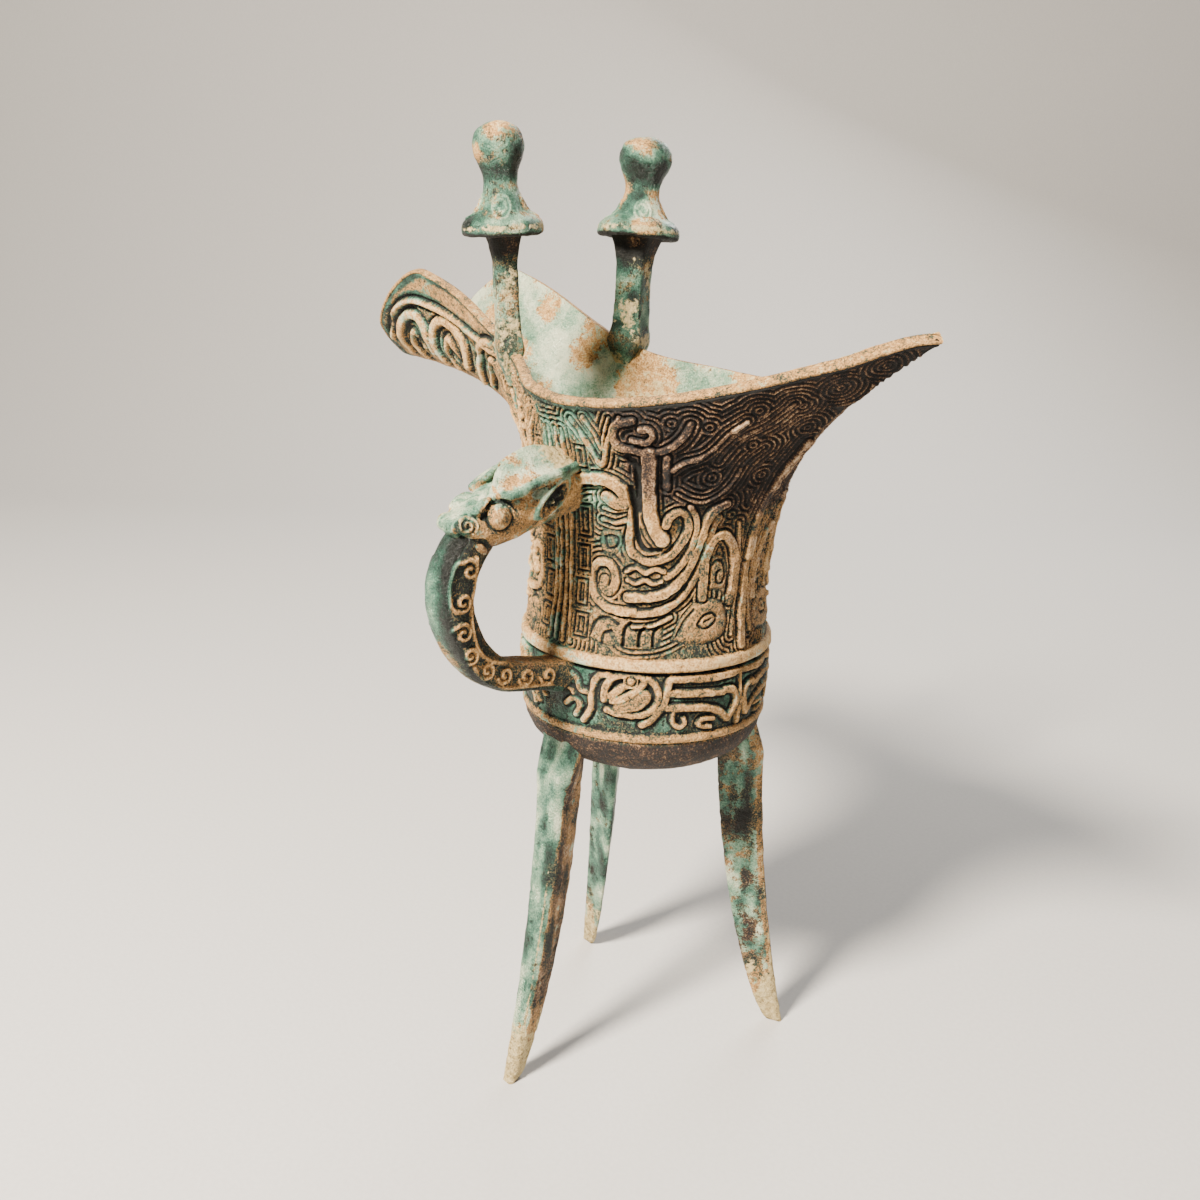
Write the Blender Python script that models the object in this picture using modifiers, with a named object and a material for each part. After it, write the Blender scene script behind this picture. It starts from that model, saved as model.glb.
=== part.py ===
"""A cast bronze wine cup on three blade legs, with a spout, a pointed tail, two capped
posts on its rim and a loop handle under a beast's head.

Lengths are in millimetres and become metres when a mesh is made. The tail points along +X,
the spout along -X, the handle along -Y, and the feet stand on Z = 0. Places are worked out
from the body's axis and moved at the end, so that the origin is under the middle of the
whole cup. Angles round the body are measured from the tail towards +Y.
"""
import math

import bmesh
import bpy
from mathutils import Matrix, Vector

MM = 0.001

# The body, from the ground up
LEG_RISE = 70.0          # ground to the underside of the bowl
BOWL_RISE = 12.8         # underside of the bowl to the lower line round the body
BAND_HEIGHT = 15.6       # lower line to upper line
WALL_RISE = 51.4         # upper line to the lowest stretch of the rim
LINE_RADIUS = 25.9       # body radius at the lower line
BODY_RADIUS = 26.2       # body radius at the upper line
BAND_SWELL = 0.5         # how far the band between the lines bulges
WAIST_SHARE = 0.85       # pull of the wall towards its waist, as a share of BODY_RADIUS
WALL = 2.2               # thickness of the bronze
BOWL_SQUARENESS = 2.3    # 2 is an ellipse; more is fuller at the edge

# The rim
RIM_HALF_WIDTH = 31.4
TAIL_REACH = 64.2        # body axis to the tail's tip
TAIL_RISE = 14.2         # lowest stretch of the rim up to the tail's tip
SPOUT_REACH = 83.0       # body axis to the lip of the spout's floor
SPOUT_RISE = 19.8        # lowest stretch of the rim up to the spout's upper edges
SPOUT_DEPTH = 21.0       # upper edges down to the lip of the floor
SPOUT_HALF_WIDTH = 15.5

# The legs
FOOT_RADIUS = 36.7       # body axis to the outer edge of a foot
LEG_ANGLES = (266.6, 47.8, 150.9)
LEG_TOP_RADIUS = 27.0    # body axis to the outer face where a leg leaves the bowl
LEG_TOE_DEPTH = 2.6
LEG_TOP_DEPTH = 10.0
LEG_TOE_WIDTH = 3.0
LEG_TOP_WIDTH = 8.4
LEG_FLARE = 3.2          # extra width where a leg spreads into the bowl

# The posts on the rim: near is on the handle's side
POST_SETBACK = 25.6      # body axis to the posts, towards the spout
POST_RISE = 50.2         # lowest stretch of the rim up to the top of a post
POST_LEAN = 4.9          # degrees outwards
POST_ROOT_DEPTH = 7.5    # how far a post runs down into the wall
POST_STEM = {"near": 4.9, "far": 6.9}
POST_TURN = {"near": -30.0, "far": 18.0}
CAP_RADIUS = {"near": 8.3, "far": 9.3}
KNOB_RADIUS = {"near": 5.1, "far": 5.8}
NECK_SHARE = 0.66        # neck radius as a share of the knob's
CAP_DROP = 22.4          # top of the knob down to the underside of the cap

# The handle
HANDLE_REACH = 28.4      # body wall to the middle of the bar at its furthest
HANDLE_WIDTH = 7.8
HANDLE_THICKNESS = 6.3
HANDLE_FOOT_DROP = 4.5   # upper line down to the middle of the bar at its lower root

# The beast's head over the handle
HEAD_LENGTH = 28.2       # body wall to the snout
HEAD_WIDTH = 12.0
HEAD_HEIGHT = 13.0
HEAD_RISE = 34.8         # upper line up to the middle of the neck at the wall
EYE_RADIUS = 2.2
HORN_WIDTH = 6.0

# Raised work
LINE_WIDTH = 2.4         # the plain rolls at the lower and the upper line
LINE_HEIGHT = 0.8
RELIEF_WIDTH = 2.0       # bands of the figures on the wall
RELIEF_HEIGHT = 0.9
FINE_WIDTH = 1.4         # bands of the smaller figures
FLANGE_WIDTH = 1.8       # upright fin under the tail
FLANGE_HEIGHT = 1.6
ROOT_SHARE = 0.4         # how deep raised work is rooted, as a share of WALL

LOWER_LINE = LEG_RISE + BOWL_RISE
UPPER_LINE = LOWER_LINE + BAND_HEIGHT
RIM_LOW = UPPER_LINE + WALL_RISE
TO_MIDDLE = Vector((0.5 * (SPOUT_REACH - TAIL_REACH),
                    0.5 * (BODY_RADIUS + HANDLE_REACH + 0.5 * HANDLE_THICKNESS - RIM_HALF_WIDTH), 0.0))
COLLECTION = "bronze drinking cup"
CASTINGS = "castings joined to the cup"


def clear_scene():
    for thing in list(bpy.data.objects):
        bpy.data.objects.remove(thing, do_unlink=True)


def new_collection(name):
    collection = bpy.data.collections.new(name)
    bpy.context.scene.collection.children.link(collection)
    return collection


def bronze():
    material = bpy.data.materials.new("patinated bronze")
    material.use_nodes = True
    shader = material.node_tree.nodes["Principled BSDF"]
    shader.inputs["Base Color"].default_value = (0.24, 0.22, 0.13, 1.0)
    shader.inputs["Roughness"].default_value = 0.62
    shader.inputs["Metallic"].default_value = 0.35
    material.diffuse_color = (0.24, 0.22, 0.13, 1.0)
    return material


def through(stations, at):
    """Smooth value at a place between stations, each a place and its value."""
    places = [s[0] for s in stations]
    values = [s[1] for s in stations]
    at = min(max(at, places[0]), places[-1])
    i = 0
    while i < len(places) - 2 and at > places[i + 1]:
        i += 1

    def slope(k):
        low = max(k - 1, 0)
        high = min(k + 1, len(places) - 1)
        return (values[high] - values[low]) / (places[high] - places[low])

    span = places[i + 1] - places[i]
    u = (at - places[i]) / span
    return ((2 * u**3 - 3 * u**2 + 1) * values[i] + (u**3 - 2 * u**2 + u) * span * slope(i)
            + (3 * u**2 - 2 * u**3) * values[i + 1] + (u**3 - u**2) * span * slope(i + 1))


def ease(u):
    u = min(max(u, 0.0), 1.0)
    return u * u * (3.0 - 2.0 * u)


def rim_point(angle):
    """The outer edge of the rim. It runs round the tail, along the body and over the
    spout's upper edge, then down and round the lip of the spout's floor."""
    side = abs((angle + 180.0) % 360.0 - 180.0)
    tail, spout, half = TAIL_REACH, -SPOUT_REACH, SPOUT_HALF_WIDTH
    spout_top = RIM_LOW + SPOUT_RISE
    lip = spout_top - SPOUT_DEPTH
    x = through(((0, tail), (12, 0.80 * tail), (35, 0.56 * tail), (57, 0.32 * tail), (80, 0.08 * tail),
                 (103, 0.095 * spout), (122, 0.214 * spout), (136, 0.31 * spout), (147, 0.43 * spout),
                 (156, 0.57 * spout), (163, 0.68 * spout), (168, 0.765 * spout),
                 (171.5, 0.875 * spout), (175, 0.957 * spout), (180, spout)), side)
    y = through(((-12, -0.31 * RIM_HALF_WIDTH), (0, 0.0), (12, 0.31 * RIM_HALF_WIDTH),
                 (35, 0.64 * RIM_HALF_WIDTH), (57, 0.88 * RIM_HALF_WIDTH), (80, RIM_HALF_WIDTH),
                 (103, 0.92 * RIM_HALF_WIDTH), (122, 0.71 * RIM_HALF_WIDTH), (136, 1.17 * half),
                 (147, 1.06 * half), (156, half), (163, half), (168, half), (171.5, 0.955 * half),
                 (175, 0.775 * half), (180, 0.0), (185, -0.775 * half)), side)
    z = through(((-12, RIM_LOW + 0.66 * TAIL_RISE), (0, RIM_LOW + TAIL_RISE),
                 (12, RIM_LOW + 0.66 * TAIL_RISE), (35, RIM_LOW + 0.30 * TAIL_RISE),
                 (57, RIM_LOW + 0.07 * TAIL_RISE), (80, RIM_LOW), (103, RIM_LOW + 0.07 * SPOUT_RISE),
                 (122, RIM_LOW + 0.17 * SPOUT_RISE), (136, RIM_LOW + 0.31 * SPOUT_RISE),
                 (147, RIM_LOW + 0.54 * SPOUT_RISE), (156, RIM_LOW + 0.82 * SPOUT_RISE),
                 (163, RIM_LOW + 0.97 * SPOUT_RISE), (168, spout_top),
                 (171.5, lip + 0.74 * SPOUT_DEPTH), (175, lip + 0.38 * SPOUT_DEPTH), (180, lip),
                 (185, lip + 0.38 * SPOUT_DEPTH)), side)
    mirrored = -1.0 if (angle % 360.0) > 180.0 else 1.0
    return Vector((x, mirrored * y, z))


def turned_radius(height):
    """Outer radius of the turned part: the bowl and the band between the lines."""
    if height < LOWER_LINE:
        drop = (LOWER_LINE - max(height, LEG_RISE)) / BOWL_RISE
        return LINE_RADIUS * (1.0 - drop**BOWL_SQUARENESS) ** (1.0 / BOWL_SQUARENESS)
    up = (height - LOWER_LINE) / BAND_HEIGHT
    return LINE_RADIUS + (BODY_RADIUS - LINE_RADIUS) * up + BAND_SWELL * math.sin(math.pi * up)


def bowl_height(radius):
    """Outer surface of the bowl at a distance from the axis."""
    out = min(radius / LINE_RADIUS, 1.0)
    return LOWER_LINE - BOWL_RISE * (1.0 - out**BOWL_SQUARENESS) ** (1.0 / BOWL_SQUARENESS)


def wall_point(angle, share):
    """A point of the outer wall: share 0 is the upper line, share 1 the rim.

    Each line up the wall is a Bezier curve. It draws in to the waist and then leans out to
    the rim, low and early under the spout and the tail, late and little at the sides."""
    round_ = math.radians(angle)
    foot = Vector((BODY_RADIUS * math.cos(round_), BODY_RADIUS * math.sin(round_), UPPER_LINE))
    rim = rim_point(angle)
    spout = max(0.0, -math.cos(round_)) ** 3
    tail = max(0.0, math.cos(round_)) ** 3
    lip = RIM_LOW + SPOUT_RISE - SPOUT_DEPTH
    waist = WAIST_SHARE - 0.05 * tail
    first = Vector((waist * foot.x, waist * foot.y, 0.0))
    first.z = UPPER_LINE + WALL_RISE * (0.42 + 0.25 * tail + 0.34 * spout)
    out = Vector((rim.x - foot.x, rim.y - foot.y, 0.0))
    reach = out.length
    lead = (15.5 * spout**0.5 + 12.0 * tail**0.5) * math.tanh(reach / 24.0)
    second = Vector((foot.x, foot.y, 0.0)) + out.normalized() * lead
    second.z = UPPER_LINE + WALL_RISE * (0.77 + 0.15 * tail + 0.16 * spout)
    second.z += 0.2 * spout * (rim.z - lip)
    a, b = 1.0 - share, share
    return a**3 * foot + 3 * a * a * b * first + 3 * a * b * b * second + b**3 * rim


def body_point(angle, height_share):
    """A point of the whole outer surface. Below 0 is the turned part, where -1 is the lower
    line and -2 the bottom of the bowl; 0 to 1 is the wall above the upper line."""
    if height_share >= 0.0:
        return wall_point(angle, height_share)
    round_ = math.radians(angle)
    if height_share >= -1.0:
        height = UPPER_LINE + height_share * BAND_HEIGHT
        radius = turned_radius(height)
    else:
        turn = (height_share + 2.0) * math.pi / 2
        radius = LINE_RADIUS * math.sin(turn) ** (2.0 / BOWL_SQUARENESS)
        height = LOWER_LINE - BOWL_RISE * math.cos(turn) ** (2.0 / BOWL_SQUARENESS)
    return Vector((radius * math.cos(round_), radius * math.sin(round_), height))


def wall_share(angle, height):
    """Height share of the wall at a height in millimetres, found by halving."""
    if height < UPPER_LINE:
        return (height - UPPER_LINE) / BAND_HEIGHT
    low, high = 0.0, 1.0
    for _ in range(14):
        middle = 0.5 * (low + high)
        if wall_point(angle, middle).z < height:
            low = middle
        else:
            high = middle
    return 0.5 * (low + high)


def within_wall(x, height):
    """Y of a point half a wall deep on the handle's side of the body."""
    angle = 270.0 + math.degrees(math.asin(x / BODY_RADIUS))
    return body_point(angle, wall_share(angle, height)).y + 0.5 * WALL


def mesh_object(name, points, faces, collection, material):
    mesh = bpy.data.meshes.new(name)
    mesh.from_pydata([(Vector(p) + TO_MIDDLE) * MM for p in points], [], faces)
    mesh.materials.append(material)
    thing = bpy.data.objects.new(name, mesh)
    collection.objects.link(thing)
    return thing


def loft(name, rings, collection, material, endless=False):
    """A closed solid through rings that all have the same number of points. An endless one
    runs from its last ring back to its first."""
    count = len(rings[0])
    points = [p for ring in rings for p in ring]
    faces = []
    for r in range(len(rings) if endless else len(rings) - 1):
        low, high = r * count, (r + 1) % len(rings) * count
        for i in range(count):
            j = (i + 1) % count
            faces.append((low + i, low + j, high + j, high + i))
    if not endless:
        faces.append(tuple(range(count))[::-1])
        faces.append(tuple((len(rings) - 1) * count + i for i in range(count)))
    solid = mesh_object(name, points, faces, collection, material)
    build = bmesh.new()
    build.from_mesh(solid.data)
    bmesh.ops.recalc_face_normals(build, faces=build.faces)
    build.to_mesh(solid.data)
    build.free()
    return solid


def column_angles():
    """Angles of the wall's columns on one side: wide steps on the body, fine ones where the
    spout's lip turns."""
    body = [9.0 * i for i in range(17)]
    spout = [150.0 + 4.5 * i for i in range(4)]
    lip = [168.0 + 2.4 * i for i in range(6)]
    half = body + spout + lip
    return half + [360.0 - a for a in half[-2:0:-1]]


def body_shell(collection, material):
    """The wall, as an open skin given its thickness inwards."""
    angles = column_angles()
    shares = [-2.0 + 0.2 * i for i in range(1, 5)] + [-1.0, -0.5]
    shares += [i / 10.0 for i in range(11)]
    points = [Vector((0.0, 0.0, LEG_RISE))]
    for share in shares:
        points += [body_point(angle, share) for angle in angles]
    count = len(angles)
    faces = [(0, 1 + (i + 1) % count, 1 + i) for i in range(count)]
    for r in range(len(shares) - 1):
        for i in range(count):
            j = (i + 1) % count
            low, high = 1 + r * count, 1 + (r + 1) * count
            faces.append((low + i, low + j, high + j, high + i))
    shell = mesh_object("cup", points, faces, collection, material)
    thicken = shell.modifiers.new("wall", "SOLIDIFY")
    thicken.thickness = WALL * MM
    thicken.offset = -1.0
    thicken.use_even_offset = True
    thicken.use_quality_normals = True
    return shell


def leg(name, angle, collection, material):
    """A blade with a flat outer face and a ridge inside. Every corner of its top ends half a
    wall deep in the bowl, the outer face higher than the ridge."""
    top_outer = LINE_RADIUS - 0.5 * WALL
    top_inner = LEG_TOP_RADIUS - LEG_TOP_DEPTH
    top_shoulder = top_outer - 0.22 * LEG_TOP_DEPTH
    tops = [bowl_height(radius) + 0.5 * WALL for radius in (top_outer, top_shoulder, top_inner)]
    rings = []
    for i in range(11):
        up = i / 10.0
        splay = (FOOT_RADIUS - LEG_TOP_RADIUS) * (1.0 - up) ** 2.0
        tuck = (LEG_TOP_RADIUS - top_outer) * ease((up - 0.88) / 0.12)
        outer = LEG_TOP_RADIUS + splay - tuck
        depth = LEG_TOE_DEPTH + (LEG_TOP_DEPTH - LEG_TOE_DEPTH) * up**0.38
        inner = LEG_TOP_RADIUS + splay - depth
        width = LEG_TOE_WIDTH + (LEG_TOP_WIDTH - LEG_TOE_WIDTH) * up**0.7
        half = 0.5 * (width + LEG_FLARE * ease((up - 0.8) / 0.2))
        high, middle, low = (top * up for top in tops)
        shoulder = outer - 0.22 * depth
        rings.append([(outer, -0.72 * half, high), (outer, 0.72 * half, high),
                      (shoulder, half, middle), (inner, 0.5, low),
                      (inner, -0.5, low), (shoulder, -half, middle)])
    turn = Matrix.Rotation(math.radians(angle), 4, "Z")
    rings = [[turn @ Vector(p) for p in ring] for ring in rings]
    return loft(name, rings, collection, material)


def post(name, side, collection, material):
    """A square stem rooted in the rim, and the turned cap with its cone, neck and knob."""
    sign = -1.0 if name == "near" else 1.0
    angle = 90.0
    while rim_point(angle).x > -POST_SETBACK:
        angle += 0.25
    root = rim_point(angle)
    lean = Matrix.Rotation(math.radians(-sign * POST_LEAN), 4, "X")
    top = RIM_LOW + POST_RISE
    seat = Vector((-POST_SETBACK, sign * (root.y - 0.5 * WALL), root.z - POST_ROOT_DEPTH))
    length = (top - seat.z) / math.cos(math.radians(POST_LEAN))
    place = Matrix.Translation(seat) @ lean
    half = 0.5 * POST_STEM[name]
    spin = Matrix.Rotation(math.radians(POST_TURN[name]), 4, "Z")
    rings = []
    under_cap = length - CAP_DROP
    for height, spread in ((0.0, 0.25 * WALL / half), (POST_ROOT_DEPTH, 1.0), (under_cap - 2.5, 1.0),
                           (under_cap + 3.0, 1.25)):
        square = [Vector((x * half * spread, y * half * spread, height))
                  for x, y in ((-1, -1), (1, -1), (1, 1), (-1, 1))]
        rings.append([place @ spin @ p for p in square])
    loft("stem " + name, rings, collection, material)
    cap, knob = CAP_RADIUS[name], KNOB_RADIUS[name]
    neck = NECK_SHARE * knob
    top_down = ((0.0, 0.0), (0.42 * knob, 0.4), (0.80 * knob, 1.6), (knob, 4.2), (0.93 * knob, 6.6),
                (neck + 0.25, 9.6), (neck, 11.6), (neck + 0.5, 14.0), (0.66 * cap, 17.0),
                (0.93 * cap, 18.6), (cap, 20.2), (0.95 * cap, 21.3), (0.62 * cap, 21.9), (0.0, CAP_DROP))
    outline = [Vector((r, 0.0, length - d)) for r, d in top_down]
    turned("cap " + name, outline, place, collection, material)


def turned(name, outline, place, collection, material, steps=15):
    """A turned solid: an outline at +X, from top to bottom, swept round by a Screw."""
    mesh = bpy.data.meshes.new(name)
    edges = [(i, i + 1) for i in range(len(outline) - 1)]
    mesh.from_pydata([p * MM for p in outline], edges, [])
    mesh.materials.append(material)
    thing = bpy.data.objects.new(name, mesh)
    home = Matrix.Translation((place.translation + TO_MIDDLE) * MM)
    thing.matrix_world = home @ place.to_3x3().to_4x4()
    collection.objects.link(thing)
    sweep = thing.modifiers.new("turn", "SCREW")
    sweep.steps = steps
    sweep.render_steps = steps
    sweep.use_merge_vertices = True
    sweep.merge_threshold = 0.00002
    return thing


def bar_ring(y, z, direction, width, thickness):
    """A rounded rectangle across a bar that lies in the plane X = 0. Direction is the way
    the bar runs, in degrees from -Y towards +Z."""
    run = math.radians(direction)
    across = Vector((0.0, math.sin(run), math.cos(run)))
    w, t = 0.5 * width, 0.5 * thickness
    corners = ((-w, -0.8 * t), (-0.8 * w, -t), (0.8 * w, -t), (w, -0.8 * t),
               (w, 0.7 * t), (0.6 * w, t), (-0.6 * w, t), (-w, 0.7 * t))
    centre = Vector((0.0, y, z))
    return [centre + Vector((a, 0.0, 0.0)) + across * b for a, b in corners]


def handle(collection, material):
    """The bar leaves the body under the upper line, swings out and up in a loop and goes
    into the beast's mouth."""
    wall = BODY_RADIUS
    low = UPPER_LINE - HANDLE_FOOT_DROP
    reach = HANDLE_REACH
    rings = [bar_ring(-(wall - 0.5 * WALL), low - 0.4, 0.0, HANDLE_WIDTH + 1.6, HANDLE_THICKNESS + 1.6)]
    rise = HEAD_RISE - 5.0
    path = ((0.12, 0.02, 12.0), (0.32, 0.06, 14.0), (0.52, 0.10, 20.0), (0.70, 0.19, 36.0),
            (0.85, 0.33, 55.0), (0.95, 0.50, 76.0), (1.0, 0.67, 92.0), (0.975, 0.84, 106.0),
            (0.89, 0.99, 122.0), (0.77, 1.10, 132.0))
    for out, up, direction in path:
        rings.append(bar_ring(-(wall + out * reach), low + up * rise, direction,
                              HANDLE_WIDTH, HANDLE_THICKNESS))
    return loft("handle bar", rings, collection, material)


def head_ring(out, width, height, centre):
    """An upright ring across the head, wide at the brow and narrower at the jaw. Out is
    measured from the wall, centre up from the middle of the neck at the wall."""
    w, h = 0.5 * width, 0.5 * height
    shape = ((-0.55 * w, -h), (0.55 * w, -h), (0.95 * w, -0.45 * h), (w, 0.2 * h),
             (0.72 * w, 0.8 * h), (0.3 * w, h), (-0.3 * w, h), (-0.72 * w, 0.8 * h),
             (-w, 0.2 * h), (-0.95 * w, -0.45 * h))
    middle = Vector((0.0, -(BODY_RADIUS + out), UPPER_LINE + HEAD_RISE + centre))
    return [middle + Vector((a, 0.0, b)) for a, b in shape]


def beast_head(collection, material):
    """Neck, skull and snout, with two flat swept-back horns, leaf ears and round eyes."""
    length, width, height = HEAD_LENGTH, HEAD_WIDTH, HEAD_HEIGHT
    stations = ((0.0, 0.94, 0.90, 0.0), (0.10, 0.94, 0.93, -0.6), (0.34, 1.0, 1.0, -1.2),
                (0.55, 1.0, 0.96, -3.4), (0.72, 0.90, 0.78, -4.6), (0.86, 0.76, 0.56, -4.7),
                (0.96, 0.60, 0.34, -4.5), (1.0, 0.38, 0.18, -4.5))
    rings = [head_ring(length * out, width * w, height * h, c) for out, w, h, c in stations]
    rings[0] = [Vector((p.x, within_wall(p.x, p.z), p.z)) for p in rings[0]]
    loft("skull", rings, collection, material)
    neck = UPPER_LINE + HEAD_RISE
    for hand, sign in (("left", -1.0), ("right", 1.0)):
        horn = []
        for share, half, thick in ((0.0, 0.12, 0.5), (0.12, 0.34, 1.0), (0.35, 0.47, 1.3),
                                   (0.7, 0.5, 1.5), (1.0, 0.5, 1.5)):
            y = -(BODY_RADIUS + length * 0.58 * (1.0 - share))
            x = (0.28 + 0.03 * math.sin(math.pi * share)) * width
            z = neck + 1.9 + 5.2 * math.sin(0.5 * math.pi * min(1.0, share / 0.62)) - 1.2 * share**3
            w = half * HORN_WIDTH
            horn.append([Vector((sign * a, y, b)) for a, b in
                         ((x - w, z - 2.0 * thick), (x + w, z - thick), (x + 0.8 * w, z + 0.3 * thick),
                          (x, z + 0.5 * thick), (x - 0.8 * w, z + 0.3 * thick))])
        horn[-1] = [Vector((p.x, within_wall(p.x, p.z), p.z)) for p in horn[-1]]
        loft("horn " + hand, horn, collection, material)
        eye = Vector((sign * 0.45 * width, -(BODY_RADIUS + 0.72 * length), neck - 3.0))
        ball("eye " + hand, eye, (0.6 * EYE_RADIUS, EYE_RADIUS, EYE_RADIUS), collection, material)
        ear = Vector((sign * 0.48 * width, -(BODY_RADIUS + 0.30 * length), neck - 1.0))
        ball("ear " + hand, ear, (1.5, 4.8, 2.2), collection, material, -42.0)
        nostril = Vector((sign * 0.22 * width, -(BODY_RADIUS + 0.94 * length), neck - 3.9))
        ball("nostril " + hand, nostril, (0.9, 1.5, 1.3), collection, material)


def ball(name, centre, radii, collection, material, tilt=0.0):
    """An ellipsoid from a unit sphere, tilted about X."""
    mesh = bpy.data.meshes.new(name)
    build = bmesh.new()
    bmesh.ops.create_uvsphere(build, u_segments=8, v_segments=6, radius=1.0)
    size = Matrix.Diagonal(Vector((*radii, 1.0)) * MM)
    size[3][3] = 1.0
    place = Matrix.Translation((centre + TO_MIDDLE) * MM) @ Matrix.Rotation(math.radians(tilt), 4, "X") @ size
    bmesh.ops.transform(build, matrix=place, verts=build.verts)
    build.to_mesh(mesh)
    build.free()
    mesh.materials.append(material)
    thing = bpy.data.objects.new(name, mesh)
    collection.objects.link(thing)
    return thing


def raised(name, places, width, height, collection, material, endless=False):
    """A raised band that follows the body through places, each an angle and a height share.
    It is rooted in the wall. A broad one has a flat top and sloping sides, a fine one is a
    sharp ridge."""
    rings = []
    for i, (angle, share) in enumerate(places):
        last = len(places) - 1
        before = places[i - 1] if i or endless else places[0]
        after = places[(i + 1) % len(places)] if i < last or endless else places[last]
        here = body_point(angle, share)
        run = body_point(*after) - body_point(*before)
        round_ = body_point(angle + 1.0, share) - body_point(angle - 1.0, share)
        rise = body_point(angle, share + 0.01) - body_point(angle, share - 0.01)
        outward = round_.cross(rise).normalized()
        across = outward.cross(run).normalized() * 0.5 * width
        foot = here - outward * ROOT_SHARE * WALL
        crest = here + outward * height
        if width > FINE_WIDTH:
            rings.append([foot - across, foot + across, crest + across * 0.62, crest - across * 0.62])
        else:
            rings.append([foot - across, foot + across, crest])
    return loft(name, rings, collection, material, endless)


def curl(angle, level, radius, start, turn, steps):
    """Places along a spiral that winds in from a start angle round its centre. The radius is
    a share of WALL_RISE."""
    places = []
    for i in range(steps + 1):
        inward = radius * (1.0 - 0.66 * i / steps)
        at = math.radians(start + turn * i / steps)
        sideways = math.degrees(inward * WALL_RISE * math.cos(at) / BODY_RADIUS)
        places.append((angle + sideways, level + inward * math.sin(at)))
    return places


def wall_figures():
    """The bands of one quarter of the wall, between the fin under the tail at 0 degrees and
    the handle at -90. Heights are shares of WALL_RISE above the upper line."""
    trunk = [(-52.0, 0.84), (-51.0, 0.63), (-45.5, 0.49)]
    beak = [(-57.5, 0.64), (-57.5, 0.47), (-51.0, 0.40)]
    beak += curl(-39.0, 0.535, 0.105, -110.0, 300.0, 5)
    jaw = [(-60.0, 0.25), (-45.0, 0.25), (-34.0, 0.32), (-27.0, 0.52), (-18.0, 0.66)]
    claw = curl(-67.5, 0.31, 0.085, -60.0, -300.0, 5)
    wing = [(-22.5, 0.30), (-23.0, 0.42), (-17.0, 0.515), (-10.0, 0.46), (-7.5, 0.24)]
    eye = [(-34.0, 0.12)] + curl(-21.5, 0.16, 0.095, 150.0, -300.0, 5)
    return [(trunk, RELIEF_WIDTH), (beak, RELIEF_WIDTH), (jaw, RELIEF_WIDTH), (claw, FINE_WIDTH),
            (wing, RELIEF_WIDTH), (eye, FINE_WIDTH)]


def band_figures():
    """The bird of one quarter of the band between the lines, and its plumes. Heights are
    shares of BAND_HEIGHT, from -1 at the lower line to 0 at the upper one."""
    head = [(-63.0, -0.50), (-61.0, -0.20), (-50.0, -0.20)]
    belly = [(-58.0, -0.70), (-46.0, -0.66), (-40.0, -0.42)]
    plumes = [[(-34.0, -0.30), (-6.0, -0.30)], [(-35.5, -0.62), (-8.0, -0.66)]]
    return [(places, FINE_WIDTH) for places in [head, belly] + plumes]


def relief(collection, material):
    """Rolls at both lines, the fin under the tail, the figures on the wall and the band in
    four mirrored quarters, and scrolls on both sides of the spout."""
    for level in (-1.0, 0.0):
        circle = [(12.0 * i, level) for i in range(30)]
        raised("roll %g" % level, circle, LINE_WIDTH, LINE_HEIGHT, collection, material, True)
    fin = [(0.0, wall_share(0.0, UPPER_LINE + WALL_RISE * level)) for level in (0.34, 0.60, 0.86)]
    raised("fin", fin, FLANGE_WIDTH, FLANGE_HEIGHT, collection, material)
    number = 0
    for places, width in wall_figures() + band_figures():
        for half_turn in (False, True):
            for sign in (-1.0, 1.0):
                number += 1
                line = []
                for angle, level in places:
                    at = (180.0 - angle if half_turn else angle) * sign
                    share = level
                    if level > 0.0:
                        share = wall_share(at, UPPER_LINE + WALL_RISE * level)
                    line.append((at, share))
                raised("figure %d" % number, line, width, RELIEF_HEIGHT, collection, material)
    scroll = [(5.0, 0.92), (9.0, 0.90), (9.5, 0.78), (6.0, 0.77)]
    fold = [(11.0, 0.68), (19.0, 0.75), (30.5, 0.87), (38.0, 0.84)]
    for places in (scroll, fold):
        for sign in (-1.0, 1.0):
            number += 1
            line = [(180.0 + sign * angle, share) for angle, share in places]
            raised("figure %d" % number, line, FINE_WIDTH, RELIEF_HEIGHT, collection, material)


def join_castings(cup, castings):
    """One union of the wall and everything cast with it."""
    join = cup.modifiers.new("cast in one", "BOOLEAN")
    join.operation = "UNION"
    join.operand_type = "COLLECTION"
    join.collection = castings
    join.solver = "EXACT"


clear_scene()
parts = new_collection(COLLECTION)
castings = new_collection(CASTINGS)
metal = bronze()
cup = body_shell(parts, metal)
for number, leg_angle in enumerate(LEG_ANGLES):
    leg("leg %d" % (number + 1), leg_angle, castings, metal)
for side in ("near", "far"):
    post(side, side, castings, metal)
handle(castings, metal)
beast_head(castings, metal)
relief(castings, metal)
join_castings(cup, castings)
for thing in castings.objects:
    thing.hide_render = True
    thing.display_type = "WIRE"
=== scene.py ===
"""The finished surface of a cast bronze wine cup on three blade legs: its wall, relief, beast
handle, capped posts and patina, standing on a pale studio floor.

Lengths are in millimetres from the body's axis and become metres when a mesh is made. The
tail points along +X, the spout along -X and the handle along -Y. Angles round the body are
in degrees from the tail towards +Y.
"""

import math

import bmesh
import bpy
import numpy as np
from mathutils import Matrix, Vector


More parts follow.
